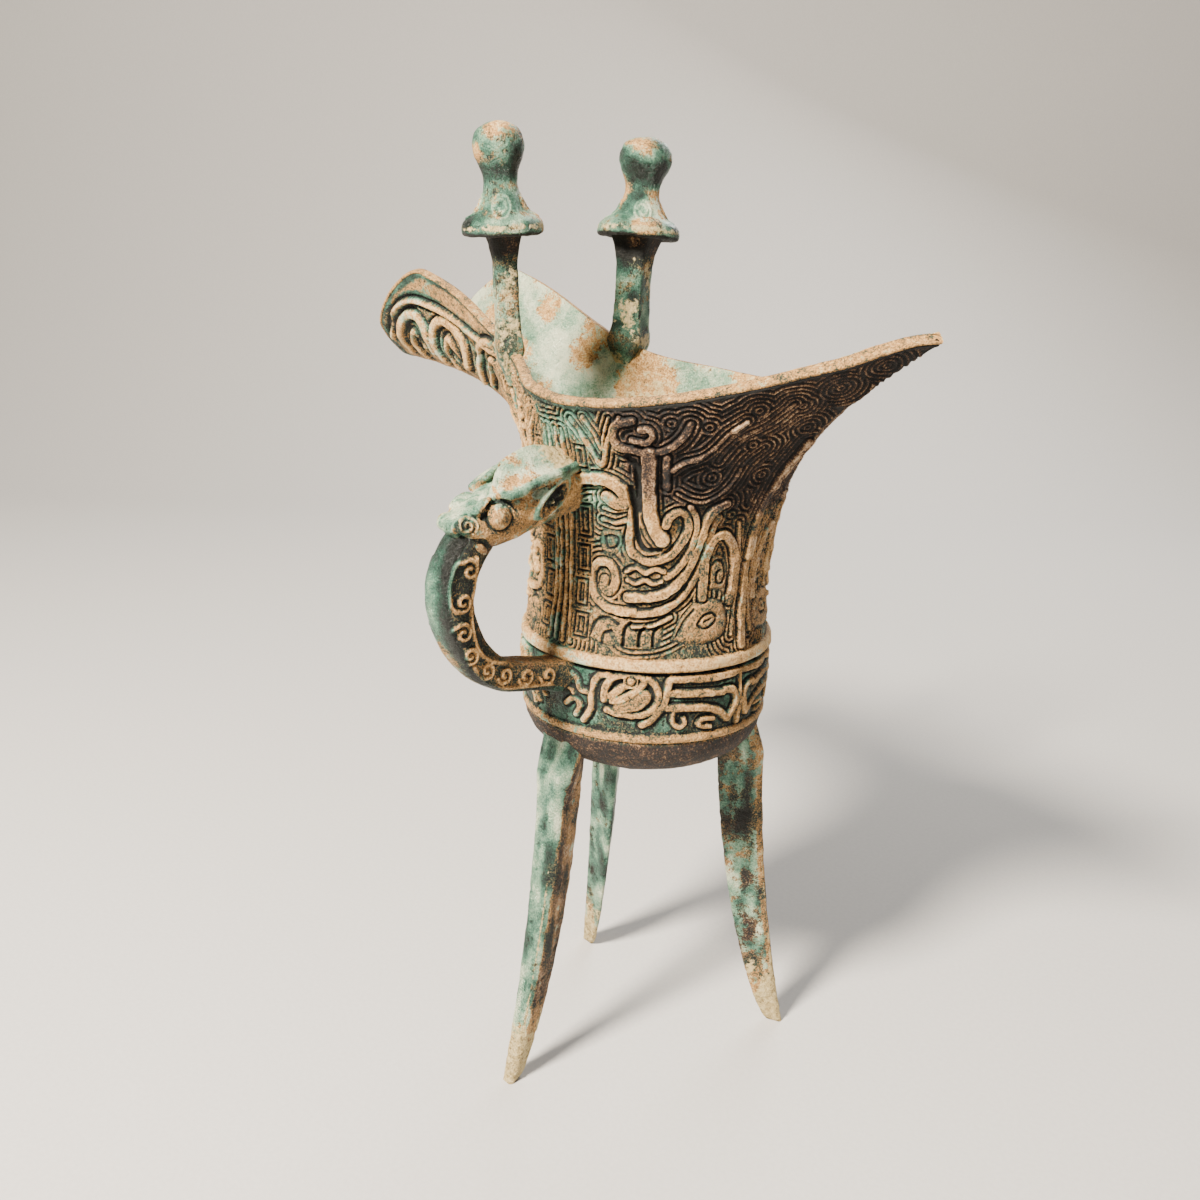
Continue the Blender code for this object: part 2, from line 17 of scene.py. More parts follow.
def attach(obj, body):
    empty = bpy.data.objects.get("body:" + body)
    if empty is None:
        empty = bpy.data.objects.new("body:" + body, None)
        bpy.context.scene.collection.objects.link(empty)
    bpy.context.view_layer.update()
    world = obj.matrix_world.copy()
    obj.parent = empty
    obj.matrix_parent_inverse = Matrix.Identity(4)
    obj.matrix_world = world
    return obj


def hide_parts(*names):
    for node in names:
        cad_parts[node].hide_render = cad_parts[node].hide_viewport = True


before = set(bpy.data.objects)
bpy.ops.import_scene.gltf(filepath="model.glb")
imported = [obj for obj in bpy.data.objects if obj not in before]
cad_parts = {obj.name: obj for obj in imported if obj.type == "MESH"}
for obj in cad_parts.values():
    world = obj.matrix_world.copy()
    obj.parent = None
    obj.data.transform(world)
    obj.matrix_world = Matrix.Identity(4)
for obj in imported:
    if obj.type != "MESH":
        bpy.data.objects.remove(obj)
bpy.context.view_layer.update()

# ---- The vessel's body -------------------------------------------------------------------
# The wall is one thin skin of bronze, cast round a core. It rises from a round bowl through a
# drawn-in waist to a rim that runs out into a gutter-like spout on one side and a leaf-shaped
# tail on the other.
MM = 0.001
LEG_RISE = 70.0
BOWL_RISE = 12.8
BAND_HEIGHT = 15.6
WALL_RISE = 51.4
LINE_RADIUS = 25.9
BODY_RADIUS = 26.2
BAND_SWELL = 0.5
WAIST_SHARE = 0.85
WALL = 2.2
BOWL_SQUARENESS = 2.3
RIM_HALF_WIDTH = 31.4
TAIL_REACH = 64.2
TAIL_RISE = 14.2
SPOUT_REACH = 83.0
SPOUT_RISE = 19.8
SPOUT_DEPTH = 21.0
SPOUT_HALF_WIDTH = 15.5
LOWER_LINE = LEG_RISE + BOWL_RISE
UPPER_LINE = LOWER_LINE + BAND_HEIGHT
RIM_LOW = UPPER_LINE + WALL_RISE
MIDDLE = np.array([0.5 * (SPOUT_REACH - TAIL_REACH), 13.175, 0.0])
LIP = 1.0                # plain lip left under the rim's edge
SUNK = 1.35              # how far the skin is let in under the relief


def smooth(x):
    """0 below 0, 1 above 1 and a smooth rise between."""
    x = np.clip(x, 0.0, 1.0)
    return x * x * (3.0 - 2.0 * x)


def past(value, start, span):
    """Rises from 0 at the start to 1 a span further on. A negative span runs downwards."""
    return smooth((value - start) / span)


def hump(value, place, width):
    """1 at a place and 0 from a width away on either side."""
    return smooth(1.0 - np.abs(value - place) / width)


def run_along(line):
    """How far along a line each of its points lies."""
    return np.concatenate([[0.0], np.cumsum(np.linalg.norm(np.diff(line, axis=0), axis=1))])


def through(stations, at):
    """Smooth values at places between stations, each a place and its value."""
    places = np.array([s[0] for s in stations], float)
    values = np.array([s[1] for s in stations], float)
    at = np.clip(np.asarray(at, float), places[0], places[-1])
    i = np.clip(np.searchsorted(places, at, side="left") - 1, 0, len(places) - 2)
    low = np.maximum(np.arange(len(places)) - 1, 0)
    high = np.minimum(np.arange(len(places)) + 1, len(places) - 1)
    slope = (values[high] - values[low]) / (places[high] - places[low])
    span = places[i + 1] - places[i]
    u = (at - places[i]) / span
    return ((2 * u**3 - 3 * u**2 + 1) * values[i] + (u**3 - 2 * u**2 + u) * span * slope[i]
            + (3 * u**2 - 2 * u**3) * values[i + 1] + (u**3 - u**2) * span * slope[i + 1])


def rim(angle):
    """The outer edge of the rim: round the tail, along the body, over the spout's upper edge
    and round the lip of its floor."""
    side = np.abs((angle + 180.0) % 360.0 - 180.0)
    top = RIM_LOW + SPOUT_RISE
    lip = top - SPOUT_DEPTH

    def shares(size, stations, base=0.0):
        return [(at, base + share * size) for at, share in stations]

    x = through(shares(TAIL_REACH, ((0, 1.0), (12, 0.80), (35, 0.56), (57, 0.32), (80, 0.08)))
                + shares(-SPOUT_REACH, ((103, 0.095), (122, 0.214), (136, 0.31), (147, 0.43),
                                        (156, 0.57), (163, 0.68), (168, 0.765), (171.5, 0.875),
                                        (175, 0.957), (180, 1.0))), side)
    y = through(shares(RIM_HALF_WIDTH, ((-12, -0.31), (0, 0.0), (12, 0.31), (35, 0.64),
                                        (57, 0.88), (80, 1.0), (103, 0.92), (122, 0.71)))
                + shares(SPOUT_HALF_WIDTH, ((136, 1.17), (147, 1.06), (156, 1.0), (163, 1.0),
                                            (168, 1.0), (171.5, 0.955), (175, 0.775), (180, 0.0),
                                            (185, -0.775))), side)
    z = through(shares(TAIL_RISE, ((-12, 0.66), (0, 1.0), (12, 0.66), (35, 0.30), (57, 0.07),
                                   (80, 0.0)), RIM_LOW)
                + shares(SPOUT_RISE, ((103, 0.07), (122, 0.17), (136, 0.31), (147, 0.54),
                                      (156, 0.82), (163, 0.97), (168, 1.0)), RIM_LOW)
                + shares(SPOUT_DEPTH, ((171.5, 0.74), (175, 0.38), (180, 0.0), (185, 0.38)), lip),
                side)
    return np.stack([x, np.where(angle % 360.0 > 180.0, -y, y), z], -1)


def wall(angle, share):
    """Points of the smooth outer wall: share 0 is the upper line and share 1 the rim."""
    angle, share = np.broadcast_arrays(np.asarray(angle, float), np.asarray(share, float))
    turn = np.radians(angle)
    level = np.full_like(turn, UPPER_LINE)
    foot = np.stack([BODY_RADIUS * np.cos(turn), BODY_RADIUS * np.sin(turn), level], -1)
    edge = rim(angle)
    spout = np.maximum(0.0, -np.cos(turn)) ** 3
    tail = np.maximum(0.0, np.cos(turn)) ** 3
    waist = (WAIST_SHARE - 0.05 * tail)[..., None]
    first = foot * waist
    first[..., 2] = UPPER_LINE + WALL_RISE * (0.42 + 0.25 * tail + 0.34 * spout)
    out = edge - foot
    out[..., 2] = 0.0
    reach = np.linalg.norm(out, axis=-1)
    lead = (15.5 * spout**0.5 + 12.0 * tail**0.5) * np.tanh(reach / 24.0)
    second = foot + out / reach[..., None] * lead[..., None]
    second[..., 2] = UPPER_LINE + WALL_RISE * (0.77 + 0.15 * tail + 0.16 * spout)
    second[..., 2] += 0.2 * spout * (edge[..., 2] - (RIM_LOW + SPOUT_RISE - SPOUT_DEPTH))
    b = share[..., None]
    a = 1.0 - b
    return a**3 * foot + 3 * a * a * b * first + 3 * a * b * b * second + b**3 * edge


def turned(angle, height):
    """Points of the band between the lines, or of the bowl under it, at a height."""
    angle, height = np.broadcast_arrays(np.asarray(angle, float), np.asarray(height, float))
    up = (height - LOWER_LINE) / BAND_HEIGHT
    band = LINE_RADIUS + (BODY_RADIUS - LINE_RADIUS) * up + BAND_SWELL * np.sin(np.pi * up)
    drop = np.clip(-up * BAND_HEIGHT / BOWL_RISE, 0.0, 1.0)
    bowl = LINE_RADIUS * (1.0 - drop**BOWL_SQUARENESS) ** (1.0 / BOWL_SQUARENESS)
    radius = np.where(up < 0.0, bowl, band)
    turn = np.radians(angle)
    return np.stack([radius * np.cos(turn), radius * np.sin(turn), height], -1)


MERIDIAN = np.linspace(0.0, 1.0, 161)


def up_wall(angles, margin, rows):
    """Rows of points at even distances up the wall, from the upper line to a margin below the
    rim, with each point's distance from the rim."""
    dense = wall(angles[None, :], MERIDIAN[:, None])
    run = np.zeros(dense.shape[:2])
    run[1:] = np.cumsum(np.linalg.norm(np.diff(dense, axis=0), axis=2), axis=0)
    points = np.zeros((len(rows), len(angles), 3))
    left = np.zeros((len(rows), len(angles)))
    for c in range(len(angles)):
        at = rows * (run[-1, c] - margin)
        left[:, c] = run[-1, c] - at
        for k in range(3):
            points[:, c, k] = np.interp(at, run[:, c], dense[:, c, k])
    return points, left


def outward(points, closed):
    """Unit normals of a grid whose rows go up and whose columns go round towards +Y."""
    if closed:
        across = np.roll(points, -1, 1) - np.roll(points, 1, 1)
    else:
        across = np.gradient(points, axis=1)
    normal = np.cross(across, np.gradient(points, axis=0))
    return normal / np.maximum(np.linalg.norm(normal, axis=2, keepdims=True), 1e-9)


def grain(points, size, seed):
    """Smooth noise from -1 to 1 in space, with lumps of about this size."""
    p = points / size + 17.3 * seed
    cell = np.floor(p).astype(np.int64)
    f = p - cell
    f = f * f * (3.0 - 2.0 * f)
    total = np.zeros(points.shape[:-1])
    for i in (0, 1):
        for j in (0, 1):
            for k in (0, 1):
                h = ((cell[..., 0] + i) * 73856093) ^ ((cell[..., 1] + j) * 19349663)
                h = (h ^ ((cell[..., 2] + k) * 83492791) ^ (seed * 2654435761)) & 0xFFFFFFFF
                h = ((h ^ (h >> 13)) * 1274126177) & 0xFFFFFFFF
                value = ((h ^ (h >> 16)) & 0xFFFF) / 32767.5 - 1.0
                weight = ((f[..., 0] if i else 1.0 - f[..., 0])
                          * (f[..., 1] if j else 1.0 - f[..., 1])
                          * (f[..., 2] if k else 1.0 - f[..., 2]))
                total += value * weight
    return total


def cast_skin(points, seed):
    """The slight unevenness of a casting that has lain in the ground."""
    return 0.10 * grain(points, 2.6, seed) + 0.07 * grain(points, 0.9, seed + 1)


def quads(rows, columns, closed, start=0):
    """Faces of a grid of points, with its rows going up and its columns going round."""
    last = columns if closed else columns - 1
    r, c = np.meshgrid(np.arange(rows - 1), np.arange(last), indexing="ij")
    d = (c + 1) % columns
    faces = np.stack([r * columns + c, r * columns + d, (r + 1) * columns + d,
                      (r + 1) * columns + c], -1)
    return (faces.reshape(-1, 4) + start).tolist()


def linear(hex_colour):
    """An sRGB hex colour as linear RGBA."""
    channels = [int(hex_colour[i:i + 2], 16) / 255.0 for i in (0, 2, 4)]
    return tuple(c / 12.92 if c <= 0.04045 else ((c + 0.055) / 1.055) ** 2.4
                 for c in channels) + (1.0,)


def node(tree, kind, settings=None, **links):
    """Adds a node. Settings are its properties; links are its inputs, by name or by number
    after an underscore, each a socket or a value."""
    made = tree.nodes.new(kind)
    for key, value in (settings or {}).items():
        setattr(made, key, value)
    for key, value in links.items():
        socket = made.inputs[int(key[1:])] if key[0] == "_" else made.inputs[key.replace("_", " ")]
        if isinstance(value, bpy.types.NodeSocket):
            tree.links.new(value, socket)
        else:
            socket.default_value = value
    return made


def ramp(tree, factor, stops):
    made = node(tree, "ShaderNodeValToRGB", Fac=factor)
    band = made.color_ramp
    while len(band.elements) < len(stops):
        band.elements.new(0.5)
    for element, (place, colour) in zip(band.elements, stops):
        element.position = place
        element.color = linear(colour)
    return made.outputs["Color"]


def bronze_patina():
    """Bronze under blue-green and earthy crusts. A piece says where each lies: relief is 0 in
    a groove and 1 on a crest, and teal, brown and cream are where those crusts show. Some pieces
    also lower relief and raise brown to paint shade on them."""
    material = bpy.data.materials.new("patinated bronze")
    material.use_nodes = True
    tree = material.node_tree
    shader = tree.nodes["Principled BSDF"]
    place = node(tree, "ShaderNodeTexCoord").outputs["Object"]

    def noise(size, detail, rough=0.6):
        field = node(tree, "ShaderNodeTexNoise", Vector=place, Scale=1000.0 / size, Detail=detail,
                     Roughness=rough).outputs["Fac"]
        return node(tree, "ShaderNodeMapRange", Value=field, From_Min=0.30,
                    From_Max=0.70).outputs["Result"]

    def scaled(value, amount, base):
        return node(tree, "ShaderNodeMath", {"operation": "MULTIPLY_ADD"}, _0=value, _1=amount,
                    _2=base).outputs[0]

    def stirred(value, *fields):
        for field, amount in fields:
            centred = node(tree, "ShaderNodeMath", {"operation": "SUBTRACT"}, _0=field, _1=0.5)
            value = scaled(centred.outputs[0], amount, value)
        return value

    def step(value, low, high):
        made = node(tree, "ShaderNodeMapRange", {"interpolation_type": "SMOOTHSTEP"}, Value=value,
                    From_Min=low, From_Max=high)
        return made.outputs["Result"]

    def mixed(factor, below, above):
        made = node(tree, "ShaderNodeMix", {"data_type": "RGBA"}, _0=factor, _6=below, _7=above)
        return made.outputs[2]

    def told(name):
        return node(tree, "ShaderNodeAttribute", {"attribute_name": name}).outputs["Fac"]

    relief, teal, brown, cream = told("relief"), told("teal"), told("brown"), told("cream")
    blotch, patch = noise(7.0, 3.0), noise(3.2, 5.0)
    fleck, grit = noise(1.1, 4.0, 0.7), noise(0.35, 3.0, 0.7)
    level = stirred(relief, (patch, 0.32), (fleck, 0.48), (grit, 0.72))
    earth = ramp(tree, level, ((0.04, "070B09"), (0.20, "152620"), (0.33, "35503F"),
                               (0.43, "7C6039"), (0.56, "AE8149"), (0.82, "D0A163"),
                               (1.0, "EAC98F")))
    rust = ramp(tree, level, ((0.04, "070504"), (0.24, "170F0B"), (0.42, "3B2A1E"),
                              (0.58, "6F5239"), (0.78, "A98662"), (1.0, "D0B593")))
    green = ramp(tree, stirred(relief, (blotch, 0.55), (grit, 0.35)),
                 ((0.05, "0B1713"), (0.27, "1C3F33"), (0.45, "3F6E5A"), (0.68, "7FA387"),
                  (0.97, "D3DBBC")))
    colour = mixed(step(stirred(brown, (patch, 0.3), (fleck, 0.3)), 0.35, 0.65), earth, rust)
    green_shows = step(stirred(teal, (patch, 0.55), (fleck, 0.40), (grit, 0.20)), 0.42, 0.60)
    colour = mixed(green_shows, colour, green)
    pale = ramp(tree, stirred(fleck, (grit, 0.7)),
                ((0.05, "75653F"), (0.32, "B9A26C"), (0.85, "DDCA98")))
    cream_shows = step(stirred(cream, (fleck, 0.55), (patch, 0.2)), 0.44, 0.62)
    colour = mixed(cream_shows, colour, pale)
    groove = step(stirred(relief, (fleck, 0.18)), 0.20, 0.0)
    shade = node(tree, "ShaderNodeMath", {"operation": "MULTIPLY"}, _0=groove, _1=0.85)
    colour = mixed(shade.outputs[0], colour, linear("0B0E0C"))
    tree.links.new(colour, shader.inputs["Base Color"])
    matt = stirred(scaled(green_shows, -0.30, 0.72), (fleck, 0.20))
    polished = scaled(step(teal, 0.62, 0.95), -0.16, matt)
    tree.links.new(polished, shader.inputs["Roughness"])
    shader.inputs["Metallic"].default_value = 0.12
    coarse = node(tree, "ShaderNodeBump", Strength=1.0, Distance=0.00042, Height=fleck).outputs[0]
    fine = node(tree, "ShaderNodeBump", Strength=1.0, Distance=0.00018, Height=grit, Normal=coarse)
    tree.links.new(fine.outputs[0], shader.inputs["Normal"])
    return material


PATINA = bronze_patina()


def placed(name, data):
    """A new object in the scene."""
    made = bpy.data.objects.new(name, data)
    bpy.context.scene.collection.objects.link(made)
    return made


def piece(name, points, faces, tints, sharp=60.0):
    """A closed mesh of the cup from points in millimetres, with what the patina is told."""
    mesh = bpy.data.meshes.new(name)
    mesh.from_pydata(((points + MIDDLE) * MM).tolist(), [], faces)
    for key in ("relief", "teal", "brown", "cream"):
        told = np.broadcast_to(tints.get(key, 0.0), len(points)).astype(np.float32)
        mesh.attributes.new(key, "FLOAT", "POINT").data.foreach_set("value", told)
    mesh.shade_smooth()
    mesh.set_sharp_from_angle(angle=math.radians(sharp))
    mesh.materials.append(PATINA)
    made = placed(name, mesh)
    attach(made, "root")
    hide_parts("cup")
    return made


def columns(count, first, last):
    """Angles that divide the wall evenly where it runs out furthest."""
    fine = np.linspace(first, last, 2001)
    run = np.zeros(2001)
    for share in (0.0, 0.6, 1.0):
        line = wall(fine, share)
        run[1:] += np.linalg.norm(np.diff(line, axis=0), axis=1)
    run = np.cumsum(run)
    return np.interp(np.linspace(0.0, run[-1], count), run, fine)


def vessel():
    """The plain casting: its bowl and wall let in under the relief, its rim and its inside."""
    around = columns(361, 0.0, 360.0)[:-1]
    bowl = LOWER_LINE - BOWL_RISE * np.cos(np.linspace(0.04, 1.0, 26) * np.pi / 2) ** 0.87
    band = np.linspace(LOWER_LINE, UPPER_LINE, 12)[1:-1]
    low = turned(around[None, :], np.concatenate([bowl, band])[:, None])
    rows = np.concatenate([np.linspace(0.0, 0.94, 62), np.linspace(0.95, 1.0, 12)])
    high, left = up_wall(around, 0.35, rows)
    base = np.concatenate([low, high])
    normal = outward(base, True)
    count = len(low)
    covered = np.ones(base.shape[:2])
    covered[:count] = past(low[..., 2] - LOWER_LINE, -0.6, 0.8)
    covered[count:] = past(left, LIP, 0.35)
    outer = base - normal * (SUNK * covered)[..., None]
    rising = base[-1] - base[-2]
    tip = base[-1] + rising / np.linalg.norm(rising, axis=1)[:, None] * 0.33
    near_tip = 0.75 * tip + 0.25 * base[-1]
    edge = np.stack([near_tip - 0.22 * normal[-1], tip - 0.65 * normal[-1],
                     tip - (WALL - 0.65) * normal[-1], near_tip - (WALL - 0.22) * normal[-1]])
    inner = (base - normal * WALL)[::-1]
    grid = np.concatenate([outer, edge, inner])
    size = grid.shape[1]
    points = grid.reshape(-1, 3)
    face_out = np.concatenate([normal, np.repeat(normal[-1:], 4, 0), -normal[::-1]]).reshape(-1, 3)
    points = points + face_out * cast_skin(points, 3)[:, None]
    is_edge = np.zeros(grid.shape[:2])
    is_edge[len(outer) - 1:len(outer) + 3] = np.array([0.8, 1.0, 1.0, 0.7])[:, None]
    inside = np.zeros(grid.shape[:2])
    inside[len(outer) + len(edge):] = 1.0
    # Painted shade deep in the cup: the inside is painted darker and browner towards its floor,
    # shade over a brown crust.
    deep = past(grid[..., 2], 118.0, -40.0) * inside
    chip = np.maximum(0.0, grain(points, 2.2, 8) - 0.35) * is_edge.reshape(-1)
    points = points - face_out * (0.35 * chip)[:, None]
    # Painted shade under the bowl: its underside is painted darker and browner, shade over a brown
    # crust.
    under = past(grid[..., 2], LOWER_LINE, -2.0) * (1.0 - inside)
    crust = grain(points, 6.0, 9).reshape(inside.shape)
    tints = {
        "relief": (0.50 + 0.12 * is_edge + 0.30 * inside - 0.20 * under - 0.3 * deep).reshape(-1),
        "teal": ((0.49 - 0.80 * crust) * inside + 0.28 * is_edge - 0.1 * deep).reshape(-1),
        "brown": np.maximum(0.75 * under, 0.4 * deep).reshape(-1),
        "cream": (0.34 * is_edge + (0.34 + 0.30 * crust) * inside).reshape(-1),
    }
    bottom = len(points)
    points = np.concatenate([points, [[0.0, 0.0, LEG_RISE], [0.0, 0.0, LEG_RISE + WALL]]])
    tints = {key: np.append(value, [0.5, 0.5] if key == "relief" else [value[0], value[-1]])
             for key, value in tints.items()}
    faces = quads(len(grid), size, True)
    last = (len(grid) - 1) * size
    for c in range(size):
        faces.append([bottom, (c + 1) % size, c])
        faces.append([bottom + 1, last + c, last + (c + 1) % size])
    return piece("vessel", points, faces, tints)


vessel()

# ---- The relief on the wall --------------------------------------------------------------
# Broad bands of a beast's face stand proud of a ground of fine engraved lines. The pattern
# was cut once and repeated in mirror image in four quarters, with moulding seams between them.
GROUND = -0.50           # the ground lies this far below the wall's own surface
CREST = 0.74             # and the bands stand this far above it
LINE_PITCH = 1.02        # engraved lines, from one to the next


def curve(stations, step=0.5):
    """A smooth line through points in space, at even steps."""
    p = np.asarray(stations, float)
    if len(p) < 3:
        count = max(2, int(np.linalg.norm(p[-1] - p[0]) / step))
        return p[0] + (p[-1] - p[0]) * np.linspace(0.0, 1.0, count)[:, None]
    run = run_along(p)
    at = np.linspace(0.0, run[-1], max(3, int(run[-1] / step)))
    return np.stack([through(list(zip(run, p[:, k])), at) for k in range(p.shape[1])], -1)


def distance(points, line, reach):
    """Distances from points to a line, and far ones left at the reach."""
    out = np.full(len(points), reach)
    near = np.all((points > line.min(0) - reach) & (points < line.max(0) + reach), axis=1)
    p = points[near]
    best = np.full(len(p), reach * reach)
    for a, b in zip(line[:-1], line[1:]):
        run = b - a
        t = np.clip((p - a) @ run / max(run @ run, 1e-12), 0.0, 1.0)
        gap = p - a - t[:, None] * run
        best = np.minimum(best, np.einsum("ij,ij->i", gap, gap))
    out[near] = np.sqrt(best)
    return out


def on_body(places):
    """Points in space on the smooth body for angles and heights."""
    made = []
    for angle, height in places:
        if height < UPPER_LINE:
            made.append(turned(angle, height))
        else:
            meridian = wall(angle, MERIDIAN)
            made.append(wall(angle, np.interp(height, meridian[:, 2], MERIDIAN)))
    return np.array(made)


# Width, height above the ground as a share, and places of each raised band in one quarter
WALL_BANDS = (
    (3.0, 1.25, ((-51.9, 141.2), (-51.2, 137.4), (-50.4, 132.9), (-49.2, 128.8), (-46.8, 125.8),
                 (-43.6, 124.0))),
    (1.7, 0.9, ((-57.2, 132.7), (-56.3, 129.4), (-56.5, 126.1), (-57.3, 123.2), (-55.6, 120.9),
                (-50.2, 119.3), (-43.1, 119.7), (-38.0, 121.3), (-34.5, 123.8), (-33.2, 126.4),
                (-34.6, 128.7), (-38.1, 129.7), (-41.4, 128.6), (-42.9, 126.8))),
    (1.5, 0.85, ((-34.0, 130.6), (-30.6, 128.4), (-29.6, 125.0), (-31.3, 120.9), (-35.8, 117.7),
                 (-40.0, 116.2))),
    (1.9, 1.0, ((-18.8, 131.3), (-23.6, 129.9), (-26.0, 126.8), (-26.9, 123.7), (-28.9, 119.3),
                (-33.2, 115.8), (-39.7, 113.2), (-46.9, 112.1), (-57.0, 111.8))),
    (1.5, 0.8, ((-20.6, 128.6), (-22.6, 124.8), (-23.6, 120.6), (-26.7, 115.9), (-32.4, 112.1),
                (-40.3, 109.7), (-47.5, 108.8), (-53.8, 108.6))),
    (1.0, 0.8, ((-68.6, 129.2), (-63.2, 128.8), (-58.8, 129.6))),
    (1.0, 0.8, ((-68.8, 127.1), (-63.3, 126.6), (-58.6, 127.4))),
    (1.8, 1.0, ((-73.8, 116.6), (-70.5, 118.3), (-66.0, 118.3), (-62.9, 116.6), (-62.6, 114.2),
                (-65.0, 112.6), (-68.0, 113.4), (-67.6, 115.0))),
    (1.8, 1.0, ((-73.8, 116.6), (-74.0, 113.6), (-71.4, 111.0), (-66.1, 109.4), (-59.5, 109.0),
                (-53.4, 109.0))),
    (0.9, 0.8, ((-58.0, 117.0), (-53.5, 117.9), (-49.5, 116.9), (-45.5, 117.9), (-41.0, 117.3))),
    (0.9, 0.7, ((-57.0, 115.2), (-53.5, 114.7), (-49.5, 115.5), (-45.5, 114.8), (-41.8, 115.3))),
    (0.9, 0.8, ((-53.5, 106.0), (-44.6, 106.5), (-37.0, 108.2))),
    (2.1, 1.0, ((-22.6, 112.0), (-22.8, 117.7), (-22.2, 121.9), (-19.6, 124.3), (-15.4, 124.7),
                (-10.5, 122.7), (-7.6, 119.1), (-6.6, 115.2), (-7.6, 110.6))),
    (1.7, 0.9, ((-51.8, 141.4), (-58.1, 141.6), (-62.3, 142.2), (-63.9, 144.5), (-62.4, 146.4),
                (-57.9, 147.3))),
    (1.3, 1.0, ((-57.5, 143.6), (-53.2, 143.3), (-51.4, 144.6), (-52.8, 146.0), (-55.2, 145.7))),
    (1.5, 0.9, ((-51.4, 141.2), (-47.5, 141.9), (-44.0, 143.5), (-42.1, 145.4), (-41.6, 147.4))),
    (1.7, 0.9, ((-46.0, 140.5), (-45.4, 137.7), (-44.5, 134.6))),
    (1.1, 1.0, ((-43.6, 138.1), (-40.0, 139.8), (-34.3, 141.2), (-31.2, 143.3), (-29.3, 145.8),
                (-25.8, 148.4))),
    (0.8, 0.7, ((-40.2, 133.3), (-35.2, 132.1), (-28.8, 131.7), (-23.0, 133.3), (-19.2, 136.2),
                (-17.4, 140.0), (-13.9, 143.0))),
    (0.8, 0.7, ((-28.6, 140.1), (-26.6, 143.0), (-23.3, 145.6), (-19.4, 147.2), (-16.7, 149.3),
                (-15.1, 152.0))),
    (2.6, 1.15, ((-81.5, 134.2), (-75.0, 135.0), (-66.6, 135.2), (-60.6, 133.6), (-59.2, 131.2),
                 (-62.6, 130.4), (-66.7, 131.6))),
    (1.2, 0.9, ((-78.6, 146.3), (-73.5, 142.5), (-68.0, 138.2), (-65.7, 142.8), (-61.9, 147.6))),
    (0.8, 0.8, ((-73.4, 147.0), (-70.2, 144.2), (-67.8, 141.2), (-66.8, 144.0), (-65.0, 147.4))),
    (0.9, 0.9, ((-84.0, 144.0), (-84.6, 129.3), (-85.4, 121.0), (-85.2, 112.6), (-83.4, 101.0))),
    (0.8, 0.9, ((-87.8, 144.0), (-88.0, 129.3), (-88.0, 112.6), (-87.6, 101.0))),
    (1.0, 0.8, ((-9.4, 127.0), (-5.2, 119.1), (-4.4, 111.8), (-6.4, 103.5))),
    (1.9, 1.0, ((0.0, 101.0), (0.0, 112.0), (0.0, 118.0))),
    (1.9, 1.25, ((0.0, 119.4), (0.0, 126.0), (0.0, 134.0), (0.0, 144.0))),
)
# Rounded masses under the bands: height, how far in from the edge they are full, and outline
MASSES = (
    (0.85, 1.6, ((-37.4, 103.4), (-34.6, 106.8), (-30.0, 110.0), (-24.8, 111.7), (-17.8, 112.0),
                 (-11.0, 110.6), (-7.8, 107.2), (-9.0, 104.4), (-13.0, 102.8), (-20.0, 102.2),
                 (-29.0, 102.4))),
    (0.65, 1.2, ((-21.4, 112.8), (-21.8, 116.4), (-20.6, 119.6), (-17.4, 120.9), (-13.2, 120.4),
                 (-10.2, 117.8), (-9.2, 113.6), (-10.0, 111.6), (-15.0, 113.0))),
    (0.55, 0.9, ((-69.8, 125.0), (-65.0, 125.5), (-59.8, 125.0), (-59.0, 122.4), (-62.3, 120.0),
                 (-67.6, 119.8), (-70.6, 122.2))),
    (0.20, 1.2, ((-60.5, 121.5), (-58.0, 109.6), (-48.0, 107.0), (-36.0, 108.0), (-27.0, 113.0),
                 (-21.6, 122.0), (-19.0, 131.0), (-26.0, 131.4), (-33.0, 131.4), (-38.0, 131.2),
                 (-44.0, 129.4), (-44.6, 125.0), (-50.4, 120.4))),
    (0.60, 1.2, ((-76.6, 103.0), (-76.0, 107.6), (-71.0, 109.8), (-60.0, 109.4), (-52.0, 110.0),
                 (-46.6, 109.0), (-41.0, 108.6), (-39.4, 105.8), (-41.6, 102.2), (-55.0, 101.8),
                 (-66.0, 101.6))),
    (0.50, 1.0, ((-82.4, 136.2), (-74.0, 137.0), (-66.0, 137.0), (-60.0, 135.0), (-57.6, 131.4),
                 (-61.0, 129.2), (-66.6, 130.0), (-70.0, 133.0), (-82.0, 132.6))),
)
# Lines cut into the masses: width, depth and places
GROOVES = (
    (0.40, 0.55, ((-24.6, 106.6), (-22.0, 108.2), (-18.0, 108.7), (-15.0, 107.8), (-17.4, 106.2),
                  (-22.0, 105.6), (-24.6, 106.6))),
    (0.30, 0.40, ((-21.4, 107.0), (-18.2, 107.5))),
    (0.45, 0.50, ((-34.0, 104.4), (-30.6, 107.4), (-26.6, 109.6))),
    (0.40, 0.50, ((-19.4, 114.6), (-19.8, 117.6), (-17.2, 119.4), (-13.8, 118.9), (-12.0, 116.6),
                  (-13.2, 114.6), (-15.8, 114.8), (-16.2, 116.8), (-14.8, 117.2))),
    (0.40, 0.45, ((-67.6, 123.6), (-64.8, 124.0), (-61.8, 123.4), (-62.8, 121.8), (-66.4, 121.4),
                  (-67.6, 123.6))),
    (0.50, 0.60, ((-73.6, 103.6), (-70.6, 106.4), (-65.4, 107.4), (-60.4, 106.4))),
    (0.50, 0.80, ((-57.6, 102.2), (-57.0, 105.6), (-54.6, 106.8))),
    (0.50, 0.80, ((-50.6, 102.2), (-50.2, 105.0), (-47.8, 106.4))),
    (0.45, 0.70, ((-44.4, 102.4), (-44.2, 105.0), (-42.4, 106.2))),
    (0.50, 0.60, ((-67.4, 102.0), (-66.4, 104.2), (-63.2, 104.8))),
)
